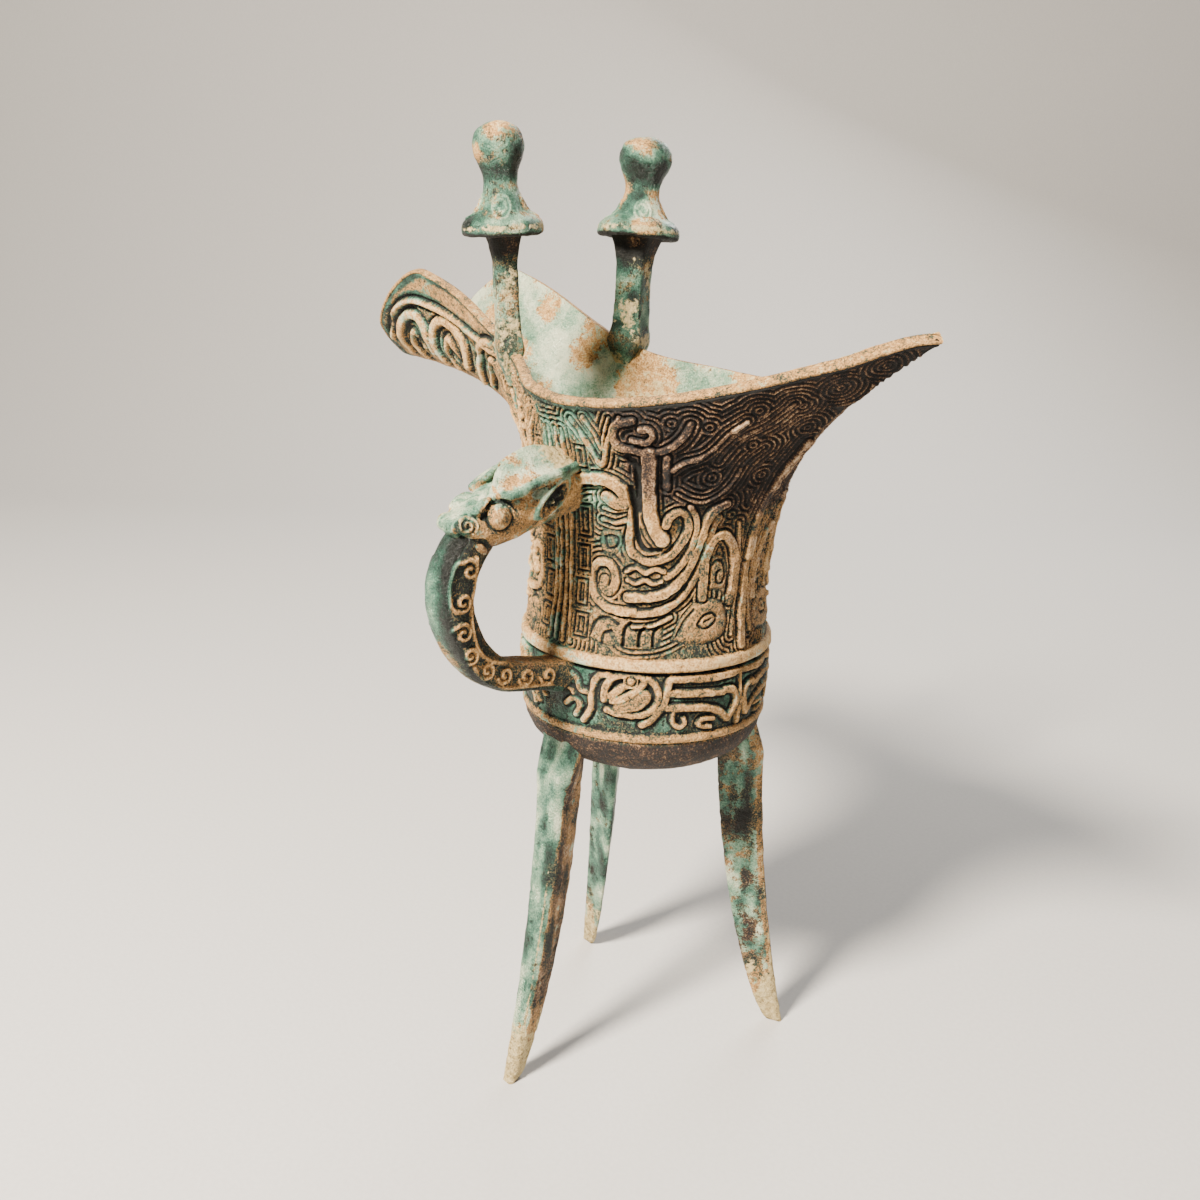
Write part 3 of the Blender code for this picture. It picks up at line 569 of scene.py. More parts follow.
# Centres round which the engraved lines whirl
WHORLS = ((-36.1, 146.9), (-18.5, 143.5), (-28.5, 136.7), (-14.2, 128.8), (-46.8, 147.2),
          (-8.0, 137.0), (-24.0, 150.5), (-12.0, 151.5), (-5.0, 147.0), (-7.0, 155.0),
          (-3.5, 159.5))
# Deep narrow slots beside the beast's trunk
SLOTS = (((-59.0, 139.9), (-56.0, 138.4), (-54.5, 134.4), (-54.0, 129.5)),
         ((-57.4, 134.0), (-55.1, 128.7), (-53.8, 124.6), (-50.5, 121.8), (-44.0, 121.6)))
# Angular meander: centre, half width in millimetres, half height
MEANDERS = ((-77.6, 126.3, 2.0, 3.6), (-78.6, 118.6, 1.7, 3.0), (-79.4, 111.6, 1.7, 3.0),
            (-78.6, 105.0, 1.9, 2.8), (-77.0, 139.0, 1.6, 2.6))


def repeats(places, turns):
    """One line of places carried into each quarter, in space."""
    return [curve(on_body([turn(*p) for p in places])) for turn in turns]


def paint_bands(points, bands, turns, ground, crest, reach):
    """Height of raised bands over a ground, and each point's distance from the nearest."""
    height = np.full(len(points), ground)
    clear = np.full(len(points), reach)
    uneven = 0.20 * grain(points, 1.9, 91) + 0.10 * grain(points, 0.8, 92)
    worn = 1.0 - 0.40 * past(grain(points, 5.0, 93), 0.05, 0.5) + 0.10 * grain(points, 1.4, 94)
    for width, share, places in bands:
        for line in repeats(places, turns):
            gap = distance(points, line, reach + 0.5 * width) - 0.5 * width
            clear = np.minimum(clear, gap)
            gap = gap + uneven
            shoulder = smooth(0.35 - gap / min(0.50, 0.5 * width))
            rise = ground + (crest - ground) * share * shoulder * worn
            height = np.maximum(height, np.where(gap < 0.25, rise, ground))
    return height, clear


def quarter(sign, flip):
    """Carries a place of the first quarter into another."""
    if flip:
        return lambda angle, height: (sign * (-180.0 - angle), height)
    return lambda angle, height: (sign * angle, height)


SPOUT_GROUND = -0.2      # the plain ground of the spout
SPOUT_CREST = 0.85       # and how far its ridges stand above it
# Width, height as a share, and places in space of each ridge on the spout's side
SPOUT_LINES = (
    (1.5, 1.0, ((-77.6, 9.5, 153.9), (-71.8, 13.1, 160.4), (-65.2, 13.6, 163.2),
                (-57.8, 13.1, 162.2), (-49.1, 12.8, 159.4), (-40.6, 14.3, 156.4),
                (-33.0, 16.0, 154.0))),
    (2.2, 1.1, ((-74.2, 6.4, 151.2), (-73.8, 9.2, 153.6), (-70.6, 12.0, 157.6),
                (-66.9, 12.9, 159.9), (-63.6, 12.4, 159.4), (-62.6, 11.0, 156.4),
                (-62.9, 8.0, 152.0))),
    (1.6, 1.0, ((-69.4, 5.4, 149.9), (-69.4, 9.2, 153.7), (-66.9, 11.0, 156.2),
                (-66.2, 8.0, 152.6))),
    (2.2, 1.1, ((-60.9, 6.0, 149.6), (-61.0, 9.6, 153.4), (-58.9, 11.8, 157.6),
                (-55.6, 12.3, 159.2), (-51.9, 11.9, 158.2), (-49.3, 10.7, 154.9),
                (-50.6, 8.0, 149.6))),
    (1.6, 1.0, ((-56.6, 5.6, 148.6), (-56.8, 9.0, 152.6), (-54.6, 10.6, 155.6),
                (-53.4, 8.0, 151.2))),
    (1.8, 1.0, ((-46.6, 6.6, 146.3), (-45.4, 9.3, 150.5), (-41.9, 12.3, 154.2),
                (-36.2, 15.4, 156.3), (-31.2, 16.6, 154.6), (-28.6, 16.8, 151.0))),
    (1.4, 1.0, ((-42.6, 7.4, 146.4), (-39.6, 10.6, 150.4), (-35.2, 14.2, 152.9),
                (-31.6, 15.4, 150.2))),
)


def mass_rise(points):
    """How far the rounded masses lift each point, all four quarters folded into the first."""
    angle = -np.abs(np.degrees(np.arctan2(points[:, 1], points[:, 0])))
    angle = np.where(angle < -90.0, -180.0 - angle, angle)
    scale = math.radians(BODY_RADIUS)
    flat = np.stack([angle * scale, points[:, 2]], -1)
    rise = np.zeros(len(points))
    for height, full, outline in MASSES:
        loop = curve([(a * scale, z) for a, z in outline + outline[:1]])
        inside = np.zeros(len(points), bool)
        for (x0, z0), (x1, z1) in zip(loop[:-1], loop[1:]):
            crosses = (flat[:, 1] > z0) != (flat[:, 1] > z1)
            crossing = x0 + (flat[:, 1] - z0) * (x1 - x0) / (z1 - z0 + 1e-12)
            inside ^= crosses & (flat[:, 0] < crossing)
        edge = np.where(inside, distance(flat, loop, full), 0.0)
        rise = np.maximum(rise, height * np.sqrt(smooth(edge / full)))
    return rise


def wall_height(points, sides):
    """The height of the whole pattern on the wall above the smooth surface."""
    turns = [quarter(s, f) for s in sides for f in (False, True)]
    body = points[:, 0] > -31.0
    height = np.full(len(points), GROUND)
    clear = np.full(len(points), 9.0)
    near = np.where(body | (points[:, 2] < 143.0))[0]
    height[near], clear[near] = paint_bands(points[near], WALL_BANDS, turns, GROUND, CREST, 6.0)
    for angle, level in WHORLS:
        for turn in turns:
            centre = on_body([turn(angle, level)])[0]
            clear = np.minimum(clear, np.linalg.norm(points - centre, axis=1))
    mass = mass_rise(points)
    lines = 0.5 - 0.5 * np.cos(2.0 * np.pi * (clear - 0.1) / LINE_PITCH)
    engraved = smooth(clear / 0.3) * (1.0 - smooth(mass / 0.3))
    lines = lines**0.75 * (0.60 + 0.14 * grain(points, 3.5, 95))
    ground = GROUND + mass + 1.12 * lines * engraved
    rim_of_band = hump(clear, 0.2, 0.45) * smooth(mass / 0.3)
    ground = ground - 0.60 * rim_of_band
    height = np.where(clear > 0.0, np.maximum(height, ground), height + 0.30 * mass)
    for width, depth, places in GROOVES:
        for line in repeats(places, turns):
            gap = distance(points, line, 1.2)
            height = height - depth * smooth(1.0 - (gap - 0.2 * width) / (0.9 * width))
    for slot, wide in zip(SLOTS, (0.95, 0.55)):
        for line in repeats(slot, turns):
            gap = distance(points, line, 1.8)
            height = height - 0.95 * smooth(1.0 - (gap - 0.5 * wide) / 0.45) * (height + 1.05)
    for angle, level, half_width, half_height in MEANDERS:
        for turn in turns:
            at, up = turn(angle, level)
            centre = on_body([(at, up)])[0]
            along = np.array([-math.sin(math.radians(at)), math.cos(math.radians(at)), 0.0])
            u = np.abs((points - centre) @ along)
            v = np.abs(points[:, 2] - centre[2])
            close = np.linalg.norm(points - centre, axis=1) < half_height + 1.6
            frame_gap = np.maximum(u - half_width, v - half_height)
            steps = 0.5 + 0.5 * np.cos(2.0 * np.pi * (frame_gap - 0.15))
            inside = close & (frame_gap < 0.35)
            stepped = GROUND + (0.72 * steps - 0.1) * (CREST - GROUND) * 0.75
            height = np.where(inside, stepped, height)
    spout = points[:, 0] < -27.0
    if spout.any():
        p = points[spout]
        rise = np.full(len(p), SPOUT_GROUND)
        nearest = np.full(len(p), 3.0)
        for width, share, places in SPOUT_LINES:
            for s in sides:
                line = curve([(x, -s * y, z) for x, y, z in places])
                gap = distance(p, line, 3.0) - 0.5 * width
                ridge = SPOUT_GROUND + share * SPOUT_CREST * smooth(-gap / 0.5 + 0.3)
                rise = np.maximum(rise, ridge)
                nearest = np.minimum(nearest, gap)
        cut = hump(nearest, 0.45, 0.55)
        pattern = rise - SPOUT_CREST * cut * (nearest > -0.1)
        plain = past(p[:, 0], -31.0, -4.0)
        height[spout] = height[spout] * (1.0 - plain) + pattern * plain
    return height


def blurred(field, times):
    for _ in range(times):
        wide = np.pad(field, 1, mode="edge")
        field = (wide[:-2, 1:-1] + wide[2:, 1:-1] + wide[1:-1, :-2] + wide[1:-1, 2:]
                 + 2.0 * field) / 6.0
    return field


def padded(tints, count):
    """Tints with nothing told for the hidden points that follow."""
    return {key: np.append(value, np.zeros(count)) for key, value in tints.items()}


def wall_skin(name, sides, first, last, count, rows):
    """The patterned skin over one half of the wall, closed by an underside let into it."""
    around = columns(count, first, last)
    base, left = up_wall(around, LIP - 0.45, np.linspace(0.0, 1.0, rows))
    normal = outward(base, False)
    flat = base.reshape(-1, 3)
    height = wall_height(flat, sides).reshape(rows, count)
    plain = past(left, 1.5, 0.6)
    height = height * plain + 0.02 * (1.0 - plain)
    low = base[..., 2] - UPPER_LINE
    height = height * past(low, 0.9, 0.5) - 0.15 * (1.0 - past(low, 0.9, 0.5))
    relief = np.clip(0.23 + 0.42 * (height - GROUND) / (CREST - GROUND)
                     + 0.85 * (height - blurred(height, 8)), 0.0, 1.0)
    height = height - 0.75 * past(left, LIP + 0.15, -0.4)
    height = height + cast_skin(base, 5)
    outer = (base + normal * height[..., None]).reshape(-1, 3)
    pick = np.unique(np.append(np.arange(0, rows, 14), rows - 1))
    under = (base - normal * (SUNK - 0.12))[pick].reshape(-1, 3)
    start = len(outer)
    faces = quads(rows, count, False)
    for r in range(len(pick) - 1):
        for c in range(count - 1):
            a, b = start + r * count + c, start + (r + 1) * count + c
            faces.append([a, b, b + 1, a + 1])
    top = start + (len(pick) - 1) * count
    for c in range(count - 1):
        faces.append([c + 1, c, start + c, start + c + 1])
        end = (rows - 1) * count + c
        faces.append([end, end + 1, top + c + 1, top + c])
    for r in range(len(pick) - 1):
        low_row, high_row = pick[r], pick[r + 1]
        a, b = start + r * count, start + (r + 1) * count
        rise = [k * count for k in range(low_row, high_row + 1)]
        faces.append([a] + rise + [b])
        rise = [k * count + count - 1 for k in range(low_row, high_row + 1)]
        faces.append([b + count - 1] + rise[::-1] + [a + count - 1])
    points = np.concatenate([outer, under])
    angle = np.degrees(np.arctan2(flat[:, 1], flat[:, 0]))
    # Over the upper wall towards the tail the colour is painted darker and browner: a brown crust
    # with painted shade over it.
    lift = flat[:, 2] - 123.0 - 0.3 * (24.0 - flat[:, 0])
    tail = past(flat[:, 0], 9.0, 10.0) * smooth(lift / 12.0)
    edge = past(flat[:, 0], 21.0, 4.0) * 0.45
    seam = smooth(1.0 - (np.abs(np.abs(angle) - 84.0) - 12.0) / 8.0)
    spout = past(flat[:, 0], -24.0, -8.0)
    mottle = 0.28 * grain(flat, 7.0, 11)
    relief = relief.reshape(-1)
    border = 1.0 - plain.reshape(-1)
    bare = spout * hump(relief, 0.33, 0.08)
    relief = relief - 0.2 * border + 0.24 * bare
    teal = (0.28 + 0.20 * seam + 0.18 * spout + 0.10 * border - 0.26 * bare + mottle
            - 0.12 * relief - 0.3 * tail)
    # Painted shade on the tail's side: its tone is pulled down here, and more on raised lines short
    # of the tail's tip.
    relief = relief + (0.35 * (relief - 0.34) - 0.20 + 0.5 * mottle) * tail
    relief = relief - 0.26 * tail * past(flat[:, 0], 32.0, -8.0) * past(relief, 0.3, 0.3)
    brown = np.maximum(0.80 * tail, edge) + 0.35 * spout * (flat[:, 2] < 150.0) + 0.3 * border
    cream = 0.10 * past(relief, 0.70, 0.25) - 0.2 * tail
    tints = {"relief": relief, "teal": teal, "brown": brown, "cream": cream}
    return piece(name, points, faces, padded(tints, len(under)))


# Name, sides the pattern is carried to, first and last angle, and points round and up
for skin in (("wall-near", (1.0,), -90.0, 0.0, 330, 262),
             ("wall-spout", (1.0,), -180.0, -90.0, 230, 160),
             ("wall-far", (-1.0,), 0.0, 180.0, 300, 150)):
    wall_skin(*skin)

# ---- The band between the two rolls ------------------------------------------------------
# A bird with a hooked beak and long straight plumes runs round the foot of the wall, again
# in mirror image, between two plain rolls with a deep groove beside each.
ROLL_RISE = 0.72
BAND_GROUND = -0.28
BAND_CREST = 0.55
BAND_LINES = (
    (1.5, 1.0, ((-64.3, 90.9), (-64.3, 92.8), (-62.4, 95.0), (-59.4, 96.0), (-53.8, 96.3),
                (-48.5, 96.2), (-47.6, 95.0), (-50.2, 93.6), (-55.7, 91.6), (-61.0, 90.6))),
    (1.6, 0.85, ((-61.5, 91.6), (-57.5, 93.4), (-52.5, 95.0))),
    (1.3, 0.8, ((-46.3, 96.0), (-42.6, 94.6), (-40.6, 92.3), (-42.0, 90.2), (-45.6, 88.6),
                (-51.2, 87.9), (-58.0, 88.0), (-63.1, 88.6))),
    (3.4, 0.7, ((-47.8, 92.0), (-51.0, 90.6), (-57.0, 90.0))),
    (1.5, 1.0, ((-34.3, 96.6), (-36.3, 95.3), (-37.3, 93.3), (-38.2, 91.2), (-40.4, 89.2),
                (-43.9, 87.0), (-47.6, 86.0))),
    (1.9, 0.95, ((-34.0, 95.9), (-26.8, 95.8), (-17.5, 95.6), (-10.1, 95.6), (-3.0, 95.9))),
    (1.6, 1.0, ((-35.6, 92.9), (-26.6, 92.6), (-19.2, 92.4), (-10.6, 92.0))),
    (1.6, 1.0, ((-36.7, 89.7), (-28.2, 89.6), (-18.8, 89.2), (-11.5, 87.9), (-6.6, 85.9))),
    (1.0, 0.9, ((-34.2, 88.8), (-34.2, 86.8), (-31.5, 85.6), (-28.6, 86.2), (-29.2, 87.3))),
    (1.0, 0.8, ((-14.8, 86.6), (-20.8, 86.8), (-21.9, 85.5), (-15.8, 84.9))),
    (1.5, 1.0, ((-9.6, 92.4), (-4.6, 92.0), (-2.4, 90.0), (-3.6, 88.0), (-5.6, 86.4))),
    (1.2, 0.9, ((0.0, 96.0), (0.0, 84.6))),
    (1.4, 1.0, ((-63.0, 96.0), (-67.3, 95.6), (-69.6, 93.8), (-70.4, 91.2), (-70.8, 88.2),
                (-74.2, 85.6))),
    (1.2, 0.9, ((-85.0, 95.6), (-78.4, 94.2), (-76.2, 92.0), (-72.8, 91.8))),
    (1.1, 0.8, ((-83.4, 88.3), (-78.8, 89.8), (-75.9, 88.6), (-78.2, 86.3))),
    (1.0, 0.9, ((-85.6, 91.8), (-81.0, 91.6), (-79.4, 90.8))),
)


def band():
    """A ring of birds with a roll at its top and another at its foot, closed behind."""
    count, rows = 560, 84
    around = np.linspace(0.0, 360.0, count, endpoint=False)
    low, high = LOWER_LINE - 1.9, UPPER_LINE + 1.7
    heights = np.linspace(low, high, rows)
    base = turned(around[None, :], np.clip(heights, None, UPPER_LINE)[:, None])
    over = heights > UPPER_LINE
    share = np.interp(heights[over], wall(90.0, MERIDIAN)[:, 2], MERIDIAN)
    base[over] = wall(around[None, :], share[:, None])
    normal = outward(base, True)
    flat = base.reshape(-1, 3)
    turns = [quarter(s, f) for s in (1.0, -1.0) for f in (False, True)]
    height, clear = paint_bands(flat, BAND_LINES, turns, BAND_GROUND, BAND_CREST, 1.6)
    height = height - 0.34 * hump(clear, 0.35, 0.4)
    eye = np.full(len(flat), 9.0)
    for turn in turns:
        eye = np.minimum(eye, np.linalg.norm(flat - on_body([turn(-52.9, 95.2)])[0], axis=1))
    height = np.where(eye < 1.5, np.maximum(height, 0.5) - 0.6 * hump(eye, 0.95, 0.35), height)
    z = flat[:, 2]
    for level, rise_by, half in ((UPPER_LINE, ROLL_RISE, 1.25), (LOWER_LINE, 0.45, 0.8)):
        gap = np.abs(z - level)
        groove = hump(gap - half, 0.45, 0.6)
        swell = rise_by * np.sqrt(smooth((half + 0.25 - gap) / 0.9))
        height = np.where(gap < half + 0.3, swell, height)
        height = height - 0.85 * groove * (z < level)
    roll = past(np.abs(z - UPPER_LINE - 0.3), 1.6, -0.8)
    ends = past(z, LOWER_LINE - 1.0, -0.6) + past(z - UPPER_LINE, 1.2, 0.4)
    level = (height - BAND_GROUND) / (BAND_CREST - BAND_GROUND)
    crisp = height - blurred(height.reshape(rows, count), 6).reshape(-1)
    relief = np.clip(0.26 + 0.40 * level + 0.85 * crisp + 0.14 * roll, 0.0, 1.0)
    height = height * (1.0 - ends) - 0.6 * ends + cast_skin(flat, 6)
    outer = flat + normal.reshape(-1, 3) * height[:, None]
    inner = turned(around[None, :], np.array([low, 90.6, high - 2.0])[:, None])
    scale = 1.0 - 1.25 / BODY_RADIUS
    inner[..., :2] *= scale
    inner[2, :, 2] = high
    inner[2, :, :2] *= 0.985
    under = inner.reshape(-1, 3)
    start = len(outer)
    faces = quads(rows, count, True)
    for c in range(count):
        d = (c + 1) % count
        for r in range(2):
            a, b = start + r * count, start + (r + 1) * count
            faces.append([a + c, b + c, b + d, a + d])
        faces.append([d, c, start + c, start + d])
        end = (rows - 1) * count
        faces.append([end + c, end + d, start + 2 * count + d, start + 2 * count + c])
    points = np.concatenate([outer, under])
    angle = np.degrees(np.arctan2(flat[:, 1], flat[:, 0]))
    mottle = 0.26 * grain(flat, 5.0, 12)
    left_side = past(angle, -64.0, -14.0) * (angle < 0.0)
    teal = 0.16 + mottle + 0.22 * left_side + 0.35 * hump(relief, 0.35, 0.25)
    tints = {"relief": relief, "teal": teal, "brown": 0.30 * past(flat[:, 0], 22.0, 3.0),
             "cream": 0.10 * left_side + 0.14 * roll}
    return piece("band", points, faces, padded(tints, len(under)))


band()

# ---- The legs ----------------------------------------------------------------------------
# Each leg is a blade with a flat outer face and a ridge towards the middle. It spreads where
# it leaves the bowl and sweeps outwards to a blunt toe, worn pale at its edges.
FOOT_RADIUS = 36.7
LEG_ANGLES = (266.6, 47.8, 150.9)
LEG_TOP_RADIUS = 27.0
LEG_TOE_DEPTH = 2.6
LEG_TOP_DEPTH = 10.0
LEG_TOE_WIDTH = 3.0
LEG_TOP_WIDTH = 8.4
LEG_FLARE = 3.2


def bowl_height(radius):
    """How high the bowl's underside lies at a radius."""
    out = np.minimum(radius / LINE_RADIUS, 1.0)
    return LOWER_LINE - BOWL_RISE * (1.0 - out**BOWL_SQUARENESS) ** (1.0 / BOWL_SQUARENESS)


def around_outline(corners, count, softening):
    """A closed outline through corners, at even steps, with its corners softened."""
    p = np.asarray(corners, float)
    loop = np.concatenate([p, p[:1]])
    run = run_along(loop)
    at = np.linspace(0.0, run[-1], count, endpoint=False)
    even = np.stack([np.interp(at, run, loop[:, k]) for k in range(p.shape[1])], -1)
    for _ in range(softening):
        even = 0.25 * np.roll(even, 1, 0) + 0.5 * even + 0.25 * np.roll(even, -1, 0)
    return even


def tube(rings):
    """Points and faces of a closed solid through rings of the same number of points."""
    grid = np.asarray(rings, float)
    count, size = grid.shape[:2]
    points = np.concatenate([grid.reshape(-1, 3), [grid[0].mean(0), grid[-1].mean(0)]])
    faces = quads(count, size, True)
    last = (count - 1) * size
    for c in range(size):
        d = (c + 1) % size
        faces.append([count * size, d, c])
        faces.append([count * size + 1, last + c, last + d])
    return points, faces


def roughened(points, faces, amount, seed, flat_below=None):
    """Points pushed along their normals by the unevenness of the casting, and the normals."""
    mesh = bpy.data.meshes.new("measure")
    mesh.from_pydata(points.tolist(), [], faces)
    normal = np.zeros(len(points) * 3)
    mesh.vertices.foreach_get("normal", normal)
    bpy.data.meshes.remove(mesh)
    normal = normal.reshape(-1, 3)
    push = amount * cast_skin(points, seed)
    if flat_below is not None:
        push = np.where(points[:, 2] < flat_below, 0.0, push)
    return points + normal * push[:, None], normal


def leg(name, angle, green, bare):
    """A leg at an angle, with how green its sides and its outer face are."""
    top_outer = LINE_RADIUS - 0.5 * WALL
    top_inner = LEG_TOP_RADIUS - LEG_TOP_DEPTH
    top_shoulder = top_outer - 0.22 * LEG_TOP_DEPTH
    tops = [bowl_height(radius) + 0.5 * WALL for radius in (top_outer, top_shoulder, top_inner)]
    rings = []
    for up in np.linspace(0.0, 1.0, 180):
        splay = (FOOT_RADIUS - LEG_TOP_RADIUS) * (1.0 - up) ** 1.85
        tuck = (LEG_TOP_RADIUS - top_outer) * float(past(up, 0.88, 0.12))
        outer = LEG_TOP_RADIUS + splay - tuck
        depth = LEG_TOE_DEPTH + (LEG_TOP_DEPTH - LEG_TOE_DEPTH) * up**0.38
        inner = LEG_TOP_RADIUS + splay - depth
        width = LEG_TOE_WIDTH + (LEG_TOP_WIDTH - LEG_TOE_WIDTH) * up**0.7
        half = 0.5 * (width + LEG_FLARE * float(past(up, 0.8, 0.2)))
        high, middle, low = (top * up for top in tops)
        shoulder = outer - 0.22 * depth
        corners = [(inner, -0.5, low), (shoulder, -half, middle), (outer, -0.72 * half, high),
                   (outer, 0.72 * half, high), (shoulder, half, middle), (inner, 0.5, low)]
        rings.append(around_outline(corners, 44, 1))
    turn = np.array(Matrix.Rotation(math.radians(angle), 3, "Z"))
    points, faces = tube(np.array(rings) @ turn.T)
    radial = np.array([math.cos(math.radians(angle)), math.sin(math.radians(angle)), 0.0])
    points, normal = roughened(points, faces, 1.0, 21, 0.4)
    outer_face = past(normal @ radial, 0.10, 0.3)
    z = points[:, 2]
    height = past(z, 4.0, 16.0)
    corner = past(np.abs(normal @ radial - 0.45), 0.5, -0.3) * (1.0 - height)
    pit = past(grain(points, 1.1, 31), 0.45, 0.3)
    points = points - normal * (0.14 * pit * (z > 1.0))[:, None]
    streak = grain(points * np.array([1.0, 1.0, 0.2]), 1.5, 26) + 0.5 * grain(points, 4.0, 27)
    tip = 1.0 - smooth((z - 5.0 + 6.0 * streak) / 17.0)
    worn = hump(normal @ radial, 0.6, 0.3) * past(z, 60.0, -16.0)
    tints = {
        "relief": (0.50 + 0.14 * grain(points, 5.0, 23) - 0.2 * pit + 0.09 * outer_face
                   + 0.34 * streak + 0.26 * tip),
        "teal": (green * (1.0 - outer_face) + bare * outer_face + 0.22 * streak - 0.3 * tip
                 - 0.2 * worn),
        "brown": 0.55 * (1.0 - outer_face) * height + 0.25 * grain(points, 7.0, 25),
        "cream": (0.85 * tip + 0.30 * outer_face * np.maximum(streak, 0.0) + 0.2 * corner
                  + 0.62 * worn),
    }
    return piece(name, points, faces, tints, 75.0)


# Each leg's green on its sides and on its outer face
for number, greens in enumerate(((0.18, 0.78), (0.50, 0.34), (0.72, 0.66))):
    leg("leg-%d" % (number + 1), LEG_ANGLES[number], *greens)

# ---- The posts on the rim ----------------------------------------------------------------
# Two square stems straddle the rim beside the spout and lean a little outwards. Each carries
# a turned cap: a dished skirt, a cone with raised ovals, a neck and a pear-shaped knob.
POST_SETBACK = 25.6
POST_RISE = 50.2
POST_LEAN = 4.9
POST_ROOT_DEPTH = 7.5
# Side, stem's width, its turn, the cap's radius and the knob's
POSTS = {"near": (-1.0, 4.9, -30.0, 8.3, 5.1), "far": (1.0, 6.9, 18.0, 9.3, 5.8)}
NECK_SHARE = 0.66
CAP_DROP = 22.4
OVAL_BEARING = -40.8     # the first of the four ovals round a cap


def post(side):
    """The stem and the cap of one post."""
    sign, stem_width, spin_by, cap_radius, knob = POSTS[side]
    angles = np.arange(90.0, 180.0, 0.05)
    edge = rim(angles)
    root = edge[np.argmax(edge[:, 0] < -POST_SETBACK)]
    seat = Vector((-POST_SETBACK, sign * (root[1] - 0.5 * WALL), root[2] - POST_ROOT_DEPTH))
    length = (RIM_LOW + POST_RISE - seat.z) / math.cos(math.radians(POST_LEAN)) - 0.05
    lean = np.array(Matrix.Rotation(math.radians(-sign * POST_LEAN), 3, "X"))
    spin = np.array(Matrix.Rotation(math.radians(spin_by), 3, "Z"))
    half = 0.5 * stem_width
    under_cap = length - CAP_DROP
    spread_at = ((0.0, 0.25 * WALL / half), (POST_ROOT_DEPTH * 0.5, 0.7), (POST_ROOT_DEPTH, 1.16),
                 (POST_ROOT_DEPTH + 4.0, 1.0), (under_cap - 5.0, 0.97), (under_cap - 1.0, 1.18),
                 (under_cap + 2.5, 1.5))
    rings = []
    for height in np.linspace(0.0, under_cap + 2.5, 110):
        spread = half * float(through(spread_at, height))
        bow = 0.25 * math.sin(height * 0.21 + spin_by)
        square = around_outline([(spread * x + bow, spread * y, height)
                                 for x, y in ((-1, -1), (1, -1), (1, 1), (-1, 1))], 40, 3)
        rings.append((square @ spin.T) @ lean.T + np.array(seat))
    points, faces = tube(rings)
    points, _ = roughened(points, faces, 1.3, 41)
    up = (points[:, 2] - root[2]) / (RIM_LOW + POST_RISE - CAP_DROP - root[2])
    shade = past(up, 0.72, 0.25)
    tints = {"relief": 0.50 + 0.34 * grain(points, 3.0, 42) - 0.4 * shade,
             "teal": 0.58 + 0.35 * grain(points, 6.0, 43) - 0.5 * shade,
             "brown": 0.75 * shade + 0.2 * grain(points, 5.0, 44),
             "cream": (0.32 + 0.45 * grain(points, 3.6, 45)) * (1.0 - shade)}
    piece("post-stem-" + side, points, faces, tints, 75.0)
    neck = NECK_SHARE * knob
    profile = ((0.0, 0.02), (0.42 * knob, 0.4), (0.80 * knob, 1.6), (knob, 4.2), (0.93 * knob, 6.6),
               (neck + 0.25, 9.6), (neck, 11.6), (neck + 0.5, 14.0), (0.66 * cap_radius, 17.0),
               (0.93 * cap_radius, 18.6), (cap_radius - 0.05, 20.2), (0.96 * cap_radius, 21.3),
               (0.80 * cap_radius, 21.5), (0.62 * cap_radius, 20.4), (0.0, 20.0))
    line = curve([(r, d) for r, d in profile], 0.3)
    line[:, 0] = np.maximum(line[:, 0], 0.02)
    turn = np.radians(np.linspace(0.0, 360.0, 120, endpoint=False))
    grid = np.stack([line[::-1, None, 0] * np.cos(turn), line[::-1, None, 0] * np.sin(turn),
                     np.broadcast_to(length - line[::-1, None, 1], (len(line), len(turn)))], -1)
    local = grid.reshape(-1, 3)
    facing = math.radians(OVAL_BEARING)
    ring_gap = np.full(len(local), 9.0)
    for k in range(4):
        at = facing + k * math.pi / 2
        out = 0.56 * cap_radius
        centre = np.array([out * math.cos(at), out * math.sin(at), length - 16.0])
        across = np.array([-math.sin(at), math.cos(at), 0.0])
        outer = np.linalg.norm(local - centre, axis=1)
        u, v = (local - centre) @ across / 1.75, (local - centre)[:, 2] / 2.2
        out = np.hypot(u, v)
        winding = np.arctan2(v, u) / (2.0 * math.pi) + 0.5
        gap = np.minimum(np.abs(out - 1.0), np.abs(out - 0.30 - 0.45 * winding)) * 1.9
        ring_gap = np.where(outer < 3.4, np.minimum(ring_gap, gap), ring_gap)
    points, faces = tube((local @ lean.T + np.array(seat)).reshape(grid.shape))
    points, normal = roughened(points, faces, 1.2, 51)
    oval = np.append(smooth(1.0 - ring_gap / 0.5), [0.0, 0.0])
    points = points + normal * (0.3 * oval)[:, None]
    depth = np.append(length - local[:, 2], [length, 0.0])
    # Painted shade under the cap: the skirt's downward faces are painted darker and browner, shade
    # over a brown crust.
    shade_and_brown_beneath = past(depth, 20.6, 0.6) * smooth(-normal[:, 2] / 0.4)
    worn = hump(depth, 19.8, 1.6)
    top = past(depth, 8.0, -4.0)
    stain = smooth(grain(points, 7.0, 52) * 2.0)
    stain = stain * past(depth, 2.0, 2.0) * past(depth, 12.0, -3.0)
    cloud = grain(points, 3.4, 53)
    tints = {
        "relief": 0.54 + 0.30 * oval - 0.55 * shade_and_brown_beneath - 0.34 * stain + 0.1 * top + 0.34 * cloud,
        "teal": 0.50 + 0.08 * past(depth, 11.0, 3.0) - 0.3 * shade_and_brown_beneath + 0.3 * stain - 0.3 * cloud,
        "brown": 0.6 * shade_and_brown_beneath + 0.15 * stain,
        "cream": 0.24 * top + 0.62 * worn + 0.2 * oval + 0.2 * cloud,
    }
    piece("post-cap-" + side, points, faces, tints)


for post_side in ("near", "far"):
    post(post_side)
